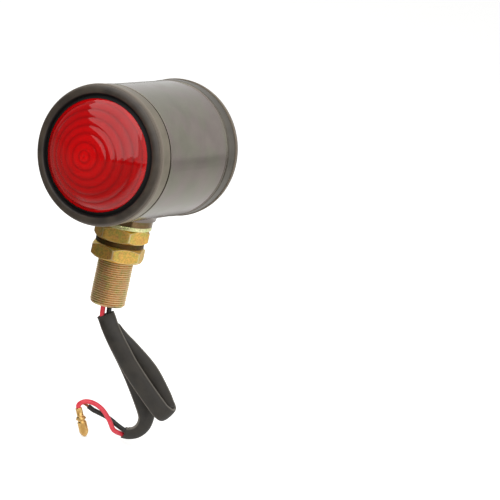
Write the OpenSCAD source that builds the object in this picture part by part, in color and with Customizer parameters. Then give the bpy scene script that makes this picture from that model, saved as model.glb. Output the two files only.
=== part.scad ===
// Double-faced marker spotlight on a hollow threaded stem.
// Millimetres. +Z runs up the stem to the head, the red lens faces -Y and the clear lens faces +Y.
// The origin is on the stem's axis, level with the lower face of the lower nut.

/* [Head] */
// Outer diameter of the steel barrel
barrel_d = 60.5; // [58:0.5:66]
// Wall of the barrel
barrel_wall = 1.2; // [1:0.1:1.6]
// Length of the barrel between the two bezels
barrel_l = 52.5; // [46:0.2:62]
// Width of the dark groove between barrel and bezel
groove_w = 0.7; // [0.4:0.1:1.2]
// Width of a bezel's visible band
bezel_w = 6.7; // [5:0.1:9]
// Wall of a bezel's sleeve inside the barrel
bezel_wall = 1; // [0.8:0.1:1.2]
// Length of a bezel's sleeve inside the barrel
bezel_sleeve_l = 6; // [4:0.5:9]
// Rubber rim beyond the barrel's radius
rim_lip = 0.6; // [0.6:0.1:2]
// Radius of the rubber rim's outer rounding
rim_round = 3.2; // [2.8:0.1:3.6]

/* [Lenses] */
// Radius of a lens dome at its foot
dome_r = 26; // [25.5:0.1:26.4]
// Height of a lens dome
dome_h = 13.4; // [11:0.1:15]
// Wall of a lens
lens_wall = 2.2; // [1.6:0.1:2.6]
// Width of the flange round a lens dome
lens_flange_w = 0.8; // [0.6:0.1:1]
// Thickness of a lens flange
lens_flange_t = 1.3; // [1:0.1:1.6]

/* [Stem and nuts] */
// Outer diameter of the threaded stem
thread_d = 16; // [14:0.5:17]
// Bore of the stem
stem_bore = 10; // [8:0.5:11]
// Free thread below the lower nut
free_thread = 21; // [16:0.5:30]
// Width of the outer nuts across their flats
nut_af = 22; // [20.5:0.5:24]
// Height of each outer nut
nut_h = 6.7; // [5:0.1:9]
// Turn of the lower nut's corners
lower_nut_turn = -12; // [-30:1:30]
// Turn of the upper nut's corners
upper_nut_turn = 16; // [-30:1:30]
// Diameter of the flat washer
flat_washer_d = 25; // [23:0.5:28]
// Thickness of the flat washer
flat_washer_t = 1.8; // [1.5:0.1:3]
// Diameter of the split lock washer
lock_washer_d = 21.6; // [20:0.1:26]
// Thickness of the split lock washer
lock_washer_t = 2; // [1.5:0.1:3]
// Diameter of the saddle collar under the barrel
collar_d = 25; // [22:0.1:26]
// Height of the collar below the barrel's lowest line
collar_h = 1.6; // [1:0.1:4]

/* [Bulb and holder] */
// Diameter of the bulb's bayonet cap
cap_d = 15; // [12:0.5:15.5]
// Length of the bulb's cap
cap_l = 13.5; // [12.5:0.5:15]
// Diameter of the bulb's glass
glass_d = 19; // [16:0.5:22]
// How far the bulb presses down
press = 1.3; // [0.8:0.1:1.5]
// How far the bulb twists, in degrees
twist = 16; // [12:1:18]

/* [Cord] */
// Width of the flattened sleeve
sleeve_w = 8; // [6.5:0.5:8.5]
// Thickness of the flattened sleeve
sleeve_t = 3.4; // [2.8:0.1:4]
// Diameter of each wire
wire_d = 2.2; // [1.6:0.1:2.4]

/* [Hidden] */
$fn = 96;

// Clearances
slip = 0.04;
seat_gap = 0.05;
push_gap = 0.1;
hole_gap = 0.2;
over = 1;

// Head, measured from the lamp's centre out along its axis
barrel_r = barrel_d / 2;
barrel_in_r = barrel_r - barrel_wall;
barrel_end = barrel_l / 2;
bezel_start = barrel_end + groove_w;
bezel_end = bezel_start + bezel_w;
bezel_r = barrel_r + 0.2;
bezel_sleeve_r = barrel_in_r - push_gap;
bezel_in_r = bezel_sleeve_r - bezel_wall;
bezel_edge = 0.6;
rim_r = barrel_r + rim_lip;
rim_back = bezel_end + seat_gap;
rim_round_y = bezel_end + 0.6;
rim_web = 0.9;
rim_shelf = 2;
rim_plug_l = 6;
rim_ledge = 0.8;
flange_r = dome_r + lens_flange_w;
flange_back = bezel_end + push_gap;
dome_foot = flange_back + lens_flange_t;
dome_sphere_r = (dome_r * dome_r + dome_h * dome_h) / (2 * dome_h);
dome_centre = dome_foot + dome_h - dome_sphere_r;

// Stack on the stem, from the origin up
lock_washer_z = nut_h;
upper_nut_z = lock_washer_z + lock_washer_t;
flat_washer_z = upper_nut_z + nut_h;
collar_z = flat_washer_z + flat_washer_t;
barrel_low_z = collar_z + collar_h;
axis_z = barrel_low_z + barrel_r;
thread_r = thread_d / 2;
nut_bore_r = thread_r + slip;
stem_hole_r = thread_r + hole_gap;
stem_low_z = -free_thread;
stem_chamfer = 1;
relief_h = 0.8;
relief_depth = 0.35;
relief_z = seat_gap;
nut_face_step = 0.4;
nut_chamfer_slope = tan(36);
collar_r = collar_d / 2;
boss_r = collar_r + 1;
boss_round = 4;
boss_rise = 1.2;
boss_z = barrel_low_z + boss_rise;

// Inside the barrel, from its floor up
saddle_t = 3.9;
saddle_r = 12;
saddle_z = barrel_low_z + barrel_wall + saddle_t;
sheet_t = 1;
inner_nut_h = 3.2;
inner_nut_af = 20;
inner_nut_z = saddle_z + sheet_t;
stem_top_z = inner_nut_z + inner_nut_h + 0.5;
bracket_r = 12;
leg_in = 12;
shelf_z = saddle_z + 7.8;
shelf_r = 11.2;
shelf_top = shelf_z + sheet_t;
shelf_hole_r = wire_d / 2 + 1.5;
tongue_w = 8;
tongue_l = 3;
shell_wall = 0.8;
shell_in_r = cap_d / 2 + 0.2;
shell_r = shell_in_r + shell_wall;
shell_flange_r = shelf_r;
shell_flange_t = 0.8;
rivet_y = shelf_r - 1.35;
rivet_r = 0.8;
rivet_head_r = 1.2;
rivet_head_t = 0.6;
base_t = 1.5;
base_hole_r = wire_d / 2 + 1;
base_top = shelf_top + base_t;
spring_l = 3.7;
spring_r = 4.5;
spring_wire_r = 0.35;
spring_turns = 3;
disc_z = base_top + spring_l;
disc_t = 1.4;
stud_r = 1.5;
stud_head_r = 2.5;
stud_head_t = 0.4;
stud_l = 3.6;
contact_z = disc_z + disc_t + stud_head_t;
stud_low_z = contact_z - stud_head_t - stud_l;
contact_t = 0.4;
contact_r = 2.2;
insulator_z = contact_z + contact_t;
insulator_t = 1.6;
insulator_r = 5;
cap_z = insulator_z + 0.4;
cap_r = cap_d / 2;
cap_wall = 0.5;
cap_floor_t = 1.2;
cap_top = cap_z + cap_l;
pin_r = 1;
pin_z = cap_z + 6.9;
pin_tail = 0.5;
pin_reach = shell_r + 0.1;
shell_top = pin_z + 2.4;
slot_gap = 0.05;
slot_half = asin((pin_r + slot_gap + slip) / shell_in_r);
glass_r = glass_d / 2;
glass_wall = 0.5;
glass_floor_t = 0.8;
neck_r = cap_r - cap_wall - push_gap;
neck_z = cap_top - 3.2;
globe_z = cap_top + 10.7;
mount_r = 2;
mount_top = cap_top + 4;
filament_lead_x = 1.5;
filament_lead_r = 0.3;
filament_r = 0.5;

// Earth connection at the end of the shelf
earth_x = 14;
earth_screw_r = 1.5;
earth_head_r = 2.6;
earth_head_t = 1.6;
earth_screw_l = 5;
earth_slot_w = 0.7;
earth_slot_depth = 0.8;
earth_hole_r = earth_screw_r + slip;
earth_nut_af = 5.5;
earth_nut_h = 2.4;
earth_nut_face_step = 0.25;
tag_t = 0.6;
tag_r = 3;
tag_neck_w = 2;
crimp_r = 1.3;
crimp_x = 8;
crimp_l = 2.4;
crimp_neck_l = 1;
crimp_z = shelf_z - crimp_r;

// The cord hangs in an upright plane turned this far from X
cord_turn = 27.5;
wire_gap = 1.4;
wire_straight = 1;
// Depth below the stem's top where the wires inside start to spread
wire_bend = 6;
bush_h = 5;
wire_sides = 8;
sleeve_sides = 10;
// How far each wire lies from the middle of the sleeve's mouth
mouth_gap = 1.6;
// Sleeve route below the stem: across, away, height, and the turn and lean of its wide side
sleeve_route = [[0.3, 0, -4.7, 33, 0], [1.4, 0, -6.4, 33, 0], [3.3, -1.2, -9.4, 34, 0],
    [6.7, -2.5, -14.1, 36, 0], [10.7, -3, -19, 38, 0], [15, -3, -24.3, 40, 0], [22.8, -3, -32.4, 45, 0],
    [31.6, -3, -40.8, 50, 0], [34.3, -2.6, -42.9, 53, 0], [36.2, -0.2, -44, 52, 0],
    [36.4, 2.6, -42.6, 46, 0], [34.5, 3.1, -39.6, 40, 0], [31.9, 3, -35.7, 36, 0],
    [24.7, 3, -26.9, 42, 0], [15.5, 3, -19.5, 51, 0], [10.2, 3.3, -15.9, 52, 0], [6.7, 4.2, -13.4, 50, 0],
    [4.8, 6.3, -12.3, 44, 0], [5.3, 8.5, -14.2, 34, 0], [7.6, 9, -18, 32, 0], [15, 9, -27.7, 36, 0],
    [21.8, 9, -37.8, 31, 4], [27, 9, -46.9, 24, 22], [27.7, 9, -51.2, 2, 32], [26.7, 8.9, -54.6, -28, 36],
    [24.5, 8.7, -57, -55, 38], [21.7, 8.4, -58.1, -80, 40], [20.3, 8.2, -58.2, -92, 40],
    [19.2, 8, -58.1, -95, 40]];
// Wire routes below the stem, past the sleeve's mouth: across, away, height
red_tail_route = [[14.6, 6.4, -57.6], [12, 6, -53.8], [8.7, 6, -50], [5.5, 6, -47.9], [2.4, 6, -47],
    [-0.2, 6, -47.1], [-2, 6, -48], [-3, 6, -49.2]];
black_tail_route = [[15.6, 8.6, -55.5], [13, 9, -54.1], [10, 9, -52.8], [7, 9, -51.9], [4, 9, -51.1]];
terminal_at = [-2.6, 6, -51.2];
terminal_tilt = 24;
strands_at = [1.2, 9, -49.8];
strands_tilt = 66;
strands_r = 0.6;
strands_l = 2.5;
// Outline of the terminal from its wire end: radius, distance
terminal_outline = [[0, 0], [1.5, 0], [1.5, 3.4], [2.1, 3.8], [2.3, 4.2], [2.3, 4.8], [1.7, 5.1],
    [1.7, 5.6], [2.1, 6], [2.1, 10.6], [1.5, 11.8], [0.7, 12.6], [0, 12.9]];

// Colours
taupe = "#8f877d";
rubber_black = "#3c3b36";
lamp_red = "#b4121c";
lamp_clear = "#b9bccb";
zinc_yellow = "#cfa552";
pale_zinc = "#dcdcae";
brass = "#bc914c";
steel = "#b4b6b8";
fibre = "#7a4a2c";
glass = "#dfe6e8";
copper = "#b8703e";
black = "#232120";
red = "#d8323f";

// Shapes that repeat

// Puts a child's +Z along the lamp's axis: side -1 is the red end and side 1 the clear end
module at_end(side) {
    translate([0, 0, axis_z]) rotate([-90 * side, 0, 0]) children();
}

module ring(h, r, hole_r) {
    difference() {
        cylinder(h = h, r = r);
        translate([0, 0, -over]) cylinder(h = h + 2 * over, r = hole_r);
    }
}

// Hexagon nut with both faces chamfered
module hex_nut(h, af, face_step, hole_r) {
    corner_r = af / 2 / cos(30);
    face_r = af / 2 - face_step;
    drop = (corner_r - face_r) * nut_chamfer_slope;
    difference() {
        intersection() {
            cylinder(h = h, r = corner_r, $fn = 6);
            rotate_extrude() polygon([[0, 0], [face_r, 0], [corner_r, drop], [corner_r, h - drop],
                [face_r, h], [0, h]]);
        }
        translate([0, 0, -over]) cylinder(h = h + 2 * over, r = hole_r);
    }
}

// Catmull-Rom curve through a list of points
function curve_at(p, i, t) =
    let (a = p[max(i - 1, 0)], b = p[i], c = p[i + 1], d = p[min(i + 2, len(p) - 1)])
    0.5 * (2 * b + (c - a) * t + (2 * a - 5 * b + 4 * c - d) * t * t
        + (3 * b - a - 3 * c + d) * t * t * t);
function curve(p, steps) =
    [for (i = [0 : len(p) - 2]) for (k = [0 : steps - 1]) curve_at(p, i, k / steps), p[len(p) - 1]];
function unit(v) = v / norm(v);
function place(p) = [p[0], p[1], p[2]];
function heading(p, i) = unit(place(p[min(i + 1, len(p) - 1)]) - place(p[max(i - 1, 0)]));
// Wide direction of a section, square to the way the curve runs
function wide(p, i) =
    let (v = heading(p, i), turn = p[i][3], lean = p[i][4],
        w = [cos(turn) * cos(lean), sin(lean), sin(turn) * cos(lean)])
    unit(w - (w * v) * v);
function section(p, i, sides, half_w, half_t) =
    let (w = wide(p, i), n = cross(heading(p, i), w))
    [for (k = [0 : sides - 1]) place(p[i]) + w * half_w * cos(360 * k / sides)
        + n * half_t * sin(360 * k / sides)];
sleeve_curve = curve([for (q = sleeve_route) q + [0, 0, stem_low_z, 0, 0]], 2);
// Point of a wire at the sleeve's end i, off to one side and out along the way the sleeve runs
function at_mouth(i, aside, out) =
    place(sleeve_curve[i]) + aside * wide(sleeve_curve, i) + out * heading(sleeve_curve, i);
// Direction that a piece turned about Y by this angle points to
function tilted(angle) = [sin(angle), 0, cos(angle)];

// Tube swept along points that each hold a place and the turn and lean of the wide side
module sweep(p, sides, half_w, half_t) {
    last = (len(p) - 1) * sides;
    points = [for (i = [0 : len(p) - 1]) each section(p, i, sides, half_w, half_t)];
    walls = [for (i = [0 : len(p) - 2]) for (k = [0 : sides - 1])
        let (a = i * sides + k, b = i * sides + (k + 1) % sides)
        each [[a, b, b + sides], [a, b + sides, a + sides]]];
    start = [for (k = [1 : sides - 2]) [0, k + 1, k]];
    end = [for (k = [1 : sides - 2]) [last, last + k, last + k + 1]];
    polyhedron(points, concat(walls, start, end));
}

// Round wire through points, its sections laid out from Y
module wire(points) {
    leaned = [for (q = points) [q[0], q[1], q[2], 0, 90]];
    sweep(leaned, wire_sides, wire_d / 2, wire_d / 2);
}

module in_cord_plane() {
    rotate([0, 0, cord_turn]) children();
}

// Head

module barrel() {
    color(taupe) difference() {
        union() {
            at_end(1) translate([0, 0, -barrel_end]) cylinder(h = barrel_l, r = barrel_r);
            rotate_extrude() difference() {
                translate([collar_r + push_gap, boss_z])
                    square([boss_r + boss_round - collar_r - push_gap, boss_round + over]);
                translate([boss_r + boss_round, boss_z]) circle(r = boss_round);
            }
        }
        at_end(1) translate([0, 0, -barrel_end - over])
            cylinder(h = barrel_l + 2 * over, r = barrel_in_r);
        translate([0, 0, collar_z]) cylinder(h = barrel_r, r = stem_hole_r);
    }
}

// Plated ring whose sleeve pushes into the barrel
module bezel(side) {
    color(taupe) at_end(side) rotate_extrude() {
        translate([bezel_in_r, bezel_start - bezel_sleeve_l])
            square([bezel_wall, bezel_sleeve_l + bezel_w]);
        translate([bezel_sleeve_r - over, bezel_start + bezel_edge])
            square([bezel_r - bezel_sleeve_r + over, bezel_w - 2 * bezel_edge]);
        translate([bezel_sleeve_r - over, bezel_start])
            square([bezel_r - bezel_sleeve_r + over - bezel_edge, bezel_w]);
        for (y = [bezel_start + bezel_edge, bezel_end - bezel_edge])
            translate([bezel_r - bezel_edge, y]) circle(r = bezel_edge, $fn = 32);
    }
}

module red_bezel() { bezel(-1); }
module clear_bezel() { bezel(1); }

// Rubber ring that holds the lens by its flange and plugs into the bezel
module rim(side) {
    round_x = rim_r - rim_round;
    web_y = dome_foot + push_gap;
    pocket_r = flange_r + push_gap;
    color(rubber_black) at_end(side) rotate_extrude() {
        difference() {
            union() {
                translate([round_x, rim_round_y]) circle(r = rim_round);
                translate([dome_r - rim_shelf, web_y])
                    square([round_x - dome_r + rim_shelf, rim_web]);
            }
            translate([0, rim_back - 2 * rim_round]) square([rim_r + over, 2 * rim_round]);
            translate([0, rim_back - over]) square([pocket_r, web_y - rim_back + over]);
            intersection() {
                translate([0, dome_centre]) circle(r = dome_sphere_r + seat_gap);
                translate([0, web_y - over]) square([flange_r, dome_h + over]);
            }
        }
        translate([pocket_r, rim_back - rim_plug_l])
            square([bezel_in_r - push_gap - pocket_r, rim_plug_l + seat_gap]);
        translate([pocket_r - rim_ledge, rim_back - rim_plug_l])
            square([rim_ledge + slip, rim_plug_l - seat_gap]);
    }
}

module red_rim() { rim(-1); }
module clear_rim() { rim(1); }

// Domed shell with a flat flange
module lens(side) {
    at_end(side) difference() {
        union() {
            intersection() {
                translate([0, 0, dome_centre]) sphere(r = dome_sphere_r);
                translate([0, 0, dome_foot]) cylinder(h = dome_h + over, r = flange_r);
            }
            translate([0, 0, flange_back]) cylinder(h = lens_flange_t, r = flange_r);
        }
        translate([0, 0, dome_centre]) sphere(r = dome_sphere_r - lens_wall);
    }
}

module red_lens() { color(lamp_red) lens(-1); }
module clear_lens() { color(lamp_clear) lens(1); }

// Stem and nuts

// Spacer whose top follows the underside of the barrel
module saddle_collar() {
    color(zinc_yellow) difference() {
        translate([0, 0, collar_z]) ring(barrel_r / 2, collar_r, nut_bore_r + slip);
        at_end(1) translate([0, 0, -barrel_end]) cylinder(h = barrel_l, r = barrel_r + seat_gap);
    }
}

module flat_washer() {
    color(pale_zinc) translate([0, 0, flat_washer_z])
        ring(flat_washer_t, flat_washer_d / 2, nut_bore_r + slip);
}

module outer_nut(z, turn) {
    color(zinc_yellow) translate([0, 0, z]) rotate([0, 0, turn])
        hex_nut(nut_h, nut_af, nut_face_step, nut_bore_r);
}

module upper_nut() { outer_nut(upper_nut_z, upper_nut_turn); }
module lower_nut() { outer_nut(0, lower_nut_turn); }

module lock_washer() {
    split_w = 2;
    color(zinc_yellow) translate([0, 0, lock_washer_z]) difference() {
        ring(lock_washer_t, lock_washer_d / 2, nut_bore_r + slip);
        rotate([0, 0, 90 + cord_turn]) translate([0, -split_w / 2, -over])
            cube([lock_washer_d, split_w, lock_washer_t + 2 * over]);
    }
}

// Hollow stem, its thread drawn as a plain cylinder with a relief inside the lower nut
module stem() {
    color(zinc_yellow) rotate_extrude() difference() {
        polygon([[stem_bore / 2, stem_low_z], [thread_r - stem_chamfer, stem_low_z],
            [thread_r, stem_low_z + stem_chamfer], [thread_r, stem_top_z], [stem_bore / 2, stem_top_z]]);
        translate([thread_r - relief_depth, relief_z]) square([relief_depth + over, relief_h]);
    }
}

// Insulating plug that holds the two wires in the stem's mouth
module stem_bush() {
    color(black) translate([0, 0, stem_low_z]) difference() {
        cylinder(h = bush_h, r = stem_bore / 2 - seat_gap);
        in_cord_plane() for (x = [-wire_gap, wire_gap])
            translate([x, 0, -over]) cylinder(h = bush_h + 2 * over, r = wire_d / 2 + seat_gap);
    }
}

// Bulb holder

module inner_saddle() {
    color(steel) difference() {
        intersection() {
            translate([0, 0, barrel_low_z]) cylinder(h = saddle_z - barrel_low_z, r = saddle_r);
            at_end(1) translate([0, 0, -barrel_end])
                cylinder(h = barrel_l, r = barrel_in_r - seat_gap);
        }
        translate([0, 0, barrel_low_z]) cylinder(h = barrel_r, r = nut_bore_r + slip);
    }
}

// C-shaped strip: a foot under the inner nut, one leg and a shelf for the holder
module bulb_bracket() {
    leg_out = leg_in + sheet_t;
    color(steel) {
        difference() {
            union() {
                translate([0, 0, saddle_z]) cylinder(h = sheet_t, r = bracket_r);
                translate([-leg_out, -tongue_w / 2, saddle_z]) cube([leg_in, tongue_w, sheet_t]);
            }
            translate([0, 0, saddle_z - over]) cylinder(h = sheet_t + 2 * over, r = stem_hole_r);
        }
        translate([-leg_out, -tongue_w / 2, saddle_z])
            cube([sheet_t, tongue_w, shelf_top - saddle_z]);
        difference() {
            union() {
                translate([0, 0, shelf_z]) cylinder(h = sheet_t, r = shelf_r);
                translate([-leg_out, -tongue_w / 2, shelf_z])
                    cube([leg_out + earth_x + tongue_l, tongue_w, sheet_t]);
            }
            translate([0, 0, shelf_z - over]) cylinder(h = sheet_t + 2 * over, r = shelf_hole_r);
            translate([earth_x, 0, shelf_z - over]) cylinder(h = sheet_t + 2 * over, r = earth_hole_r);
            for (y = [-rivet_y, rivet_y]) translate([0, y, shelf_z - over])
                cylinder(h = sheet_t + 2 * over, r = rivet_r + slip);
        }
    }
}

module inner_nut() {
    color(zinc_yellow) translate([0, 0, inner_nut_z]) rotate([0, 0, 30])
        hex_nut(inner_nut_h, inner_nut_af, nut_face_step, nut_bore_r);
}

// Outline of a slot for one bayonet pin, between two angles
module slot_sector(from, to) {
    reach = 2 * shell_r;
    polygon([[0, 0], for (a = [from, (from + to) / 2, to]) [reach * cos(a), reach * sin(a)]]);
}

module holder_shell() {
    slot_low = pin_z - pin_r - slot_gap - press;
    slot_high = pin_z + pin_r + slot_gap;
    color(brass) difference() {
        union() {
            translate([0, 0, shelf_top]) cylinder(h = shell_top - shelf_top, r = shell_r);
            translate([0, 0, shelf_top]) cylinder(h = shell_flange_t, r = shell_flange_r);
        }
        translate([0, 0, shelf_top - over]) cylinder(h = shell_top, r = shell_in_r);
        for (y = [-rivet_y, rivet_y]) translate([0, y, shelf_top - over])
            cylinder(h = shell_flange_t + 2 * over, r = rivet_r + slip);
        for (a = [0, 180]) rotate([0, 0, a]) {
            translate([0, 0, slot_low]) linear_extrude(slot_high - slot_low)
                slot_sector(-slot_half, twist + slot_half);
            translate([0, 0, slot_low]) linear_extrude(shell_top - slot_low + over)
                slot_sector(twist - slot_half, twist + slot_half);
        }
    }
}

module holder_base() {
    color(fibre) translate([0, 0, shelf_top])
        ring(base_t, shell_in_r - push_gap, base_hole_r);
}

module holder_rivets() {
    grip = sheet_t + shell_flange_t;
    color(steel) for (y = [-rivet_y, rivet_y]) translate([0, y, shelf_z]) {
        cylinder(h = grip, r = rivet_r);
        translate([0, 0, grip]) cylinder(h = rivet_head_t, r = rivet_head_r);
        translate([0, 0, -rivet_head_t]) cylinder(h = rivet_head_t, r = rivet_head_r);
    }
}

// Coil between the base and the disc
module contact_spring() {
    steps = 16;
    rise = spring_l - 2 * spring_wire_r;
    turned = [for (i = [0 : spring_turns * steps])
        let (a = 360 * i / steps)
        [spring_r * cos(a), spring_r * sin(a), rise * i / (spring_turns * steps)]];
    sides = 6;
    last = (len(turned) - 1) * sides;
    points = [for (i = [0 : len(turned) - 1]) let (a = 360 * i / steps) for (k = [0 : sides - 1])
        turned[i] + spring_wire_r * (cos(60 * k) * [cos(a), sin(a), 0] + sin(60 * k) * [0, 0, 1])];
    walls = [for (i = [0 : len(turned) - 2]) for (k = [0 : sides - 1])
        let (a = i * sides + k, b = i * sides + (k + 1) % sides)
        each [[a, b + sides, b], [a, a + sides, b + sides]]];
    start = [for (k = [1 : sides - 2]) [0, k, k + 1]];
    end = [for (k = [1 : sides - 2]) [last, last + k + 1, last + k]];
    color(steel) translate([0, 0, base_top + spring_wire_r])
        polyhedron(points, concat(walls, start, end));
}

module contact_disc() {
    color(fibre) translate([0, 0, disc_z])
        ring(disc_t, shell_in_r - 2 * push_gap, stud_r + slip);
}

module contact_stud() {
    color(brass) {
        translate([0, 0, contact_z - stud_head_t]) cylinder(h = stud_head_t, r = stud_head_r);
        translate([0, 0, stud_low_z]) cylinder(h = stud_l, r = stud_r);
    }
}

// Bulb

module bulb_cap() {
    color(brass) translate([0, 0, cap_z]) difference() {
        cylinder(h = cap_l, r = cap_r);
        translate([0, 0, cap_floor_t]) cylinder(h = cap_l, r = cap_r - cap_wall);
        translate([0, 0, -over]) cylinder(h = cap_l, r = insulator_r + slip);
        rotate([0, 90, 0]) translate([cap_z - pin_z, 0, -cap_d]) cylinder(h = 2 * cap_d, r = pin_r + slip);
    }
}

module bulb_pins() {
    inner = cap_r - cap_wall - pin_tail;
    color(brass) for (a = [0, 180]) rotate([0, 0, a]) translate([inner, 0, pin_z])
        rotate([0, 90, 0]) cylinder(h = pin_reach - inner, r = pin_r);
}

module bulb_insulator() {
    color(black) translate([0, 0, insulator_z]) cylinder(h = insulator_t, r = insulator_r);
}

module bulb_contact() {
    color(steel) translate([0, 0, contact_z]) cylinder(h = contact_t, r = contact_r);
}

// Globe on a neck, drawn in by one wall for its inside
module glass_solid(wall, floor_t) {
    translate([0, 0, globe_z]) sphere(r = glass_r - wall);
    translate([0, 0, neck_z + floor_t])
        cylinder(h = globe_z - neck_z - floor_t, r = neck_r - wall);
}

module bulb_glass() {
    color(glass) difference() {
        glass_solid(0, 0);
        glass_solid(glass_wall, glass_floor_t);
    }
}

module bulb_mount() {
    floor_z = neck_z + glass_floor_t;
    color(glass) translate([0, 0, floor_z]) cylinder(h = mount_top - floor_z, r = mount_r);
}

module bulb_filament() {
    color(steel) {
        for (x = [-filament_lead_x, filament_lead_x]) translate([x, 0, mount_top])
            cylinder(h = globe_z - mount_top, r = filament_lead_r, $fn = 24);
        translate([-filament_lead_x - filament_lead_r, 0, globe_z]) rotate([0, 90, 0])
            cylinder(h = 2 * (filament_lead_x + filament_lead_r), r = filament_r, $fn = 24);
    }
}

// Wiring inside

// Ring tag under the shelf with a crimp for the earth wire
module earth_tag() {
    neck_x = crimp_x + crimp_l - crimp_neck_l;
    color(brass) difference() {
        union() {
            translate([earth_x, 0, shelf_z - tag_t]) cylinder(h = tag_t, r = tag_r);
            translate([crimp_x, 0, crimp_z]) rotate([0, 90, 0]) cylinder(h = crimp_l, r = crimp_r - slip);
            translate([neck_x, -tag_neck_w / 2, crimp_z])
                cube([crimp_neck_l, tag_neck_w, crimp_r - slip]);
            translate([neck_x, -tag_neck_w / 2, shelf_z - tag_t])
                cube([earth_x - tag_r + over - neck_x, tag_neck_w, tag_t]);
        }
        translate([earth_x, 0, shelf_z - tag_t - over])
            cylinder(h = tag_t + 2 * over, r = earth_hole_r);
    }
}

module earth_screw() {
    color(steel) translate([earth_x, 0, shelf_top]) difference() {
        union() {
            cylinder(h = earth_head_t, r = earth_head_r);
            translate([0, 0, -earth_screw_l]) cylinder(h = earth_screw_l, r = earth_screw_r);
        }
        translate([-earth_head_r - over, -earth_slot_w / 2, earth_head_t - earth_slot_depth])
            cube([2 * (earth_head_r + over), earth_slot_w, earth_slot_depth + over]);
    }
}

module earth_nut() {
    color(steel) translate([earth_x, 0, shelf_z - tag_t - earth_nut_h])
        hex_nut(earth_nut_h, earth_nut_af, earth_nut_face_step, earth_hole_r);
}

// Red wire from the stem's mouth up to the contact stud
module feed_wire() {
    at = wire_gap * [cos(cord_turn), sin(cord_turn)];
    route = [[-at[0], -at[1], stem_low_z], [-at[0], -at[1], stem_low_z + bush_h],
        [-at[0], -at[1], stem_top_z - wire_bend], [-1, -0.5, stem_top_z - 2], [-0.3, -0.1, shelf_z - 1],
        [0, 0, shelf_top], [0, 0, stud_low_z - wire_straight]];
    color(red) wire(concat(curve(route, 2), [[0, 0, stud_low_z]]));
}

// Black wire from the stem's mouth up to the earth tag
module earth_wire() {
    at = wire_gap * [cos(cord_turn), sin(cord_turn)];
    route = [[at[0], at[1], stem_low_z], [at[0], at[1], stem_low_z + bush_h],
        [at[0], at[1], stem_top_z - wire_bend], [1.9, 0.6, crimp_z - 3.6], [3.2, 0.3, crimp_z - 1],
        [5.4, 0, crimp_z], [crimp_x - wire_straight, 0, crimp_z]];
    color(black) wire(concat(curve(route, 2), [[crimp_x, 0, crimp_z]]));
}

// Cord

module lead(side) {
    wire([[side * wire_gap, 0, stem_low_z], [side * wire_gap, 0, stem_low_z - wire_straight],
        at_mouth(0, side * mouth_gap, -wire_straight), at_mouth(0, side * mouth_gap, 0)]);
}

module red_lead() { color(red) in_cord_plane() lead(-1); }
module black_lead() { color(black) in_cord_plane() lead(1); }

module sleeve() {
    color(rubber_black) in_cord_plane()
        sweep(sleeve_curve, sleeve_sides, sleeve_w / 2, sleeve_t / 2);
}

// Wire from the sleeve's mouth to its own end, straight at both
module tail(side, route, end, way) {
    last = len(sleeve_curve) - 1;
    hung = [for (q = route) q + [0, 0, stem_low_z]];
    tip = end + [0, 0, stem_low_z];
    wire(concat([at_mouth(last, side * mouth_gap, 0)],
        curve(concat([at_mouth(last, side * mouth_gap, wire_straight)], hung,
            [tip - wire_straight * way]), 2), [tip]));
}

module red_tail() {
    color(red) in_cord_plane()
        tail(1, red_tail_route, terminal_at, tilted(180 - terminal_tilt));
}

module black_tail() {
    color(black) in_cord_plane() tail(-1, black_tail_route, strands_at, tilted(-strands_tilt));
}

// Crimped bullet terminal on the red wire
module bullet_terminal() {
    color(brass) in_cord_plane() translate(terminal_at + [0, 0, stem_low_z])
        rotate([0, 180 - terminal_tilt, 0]) rotate_extrude() polygon(terminal_outline);
}

module bare_strands() {
    color(copper) in_cord_plane() translate(strands_at + [0, 0, stem_low_z])
        rotate([0, -strands_tilt, 0]) cylinder(h = strands_l, r = strands_r);
}

barrel();
red_bezel();
clear_bezel();
red_rim();
clear_rim();
red_lens();
clear_lens();
saddle_collar();
flat_washer();
upper_nut();
lock_washer();
lower_nut();
stem();
stem_bush();
inner_saddle();
bulb_bracket();
inner_nut();
holder_shell();
holder_base();
holder_rivets();
contact_spring();
contact_disc();
contact_stud();
bulb_cap();
bulb_pins();
bulb_insulator();
bulb_contact();
bulb_glass();
bulb_mount();
bulb_filament();
earth_tag();
earth_screw();
earth_nut();
feed_wire();
earth_wire();
red_lead();
black_lead();
sleeve();
red_tail();
black_tail();
bullet_terminal();
bare_strands();
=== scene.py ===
# %% [markdown]
# # A double-faced marker spotlight
# This lesson dresses a small vehicle lamp: a plated barrel with a red lens at one end and a clear one
# at the other, both in rubber rings, on a hollow threaded stem with two nuts and a sleeved lead.
# The measured frame of the lamp comes packed from its construction model. Every size below is in
# millimetres and becomes metres where a mesh is made. Only the floor's sheet and the window, like the
# camera's range, are given in metres.

# %% Load the measured frame
import math

import bmesh
import bpy
from mathutils import Matrix, Vector


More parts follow.
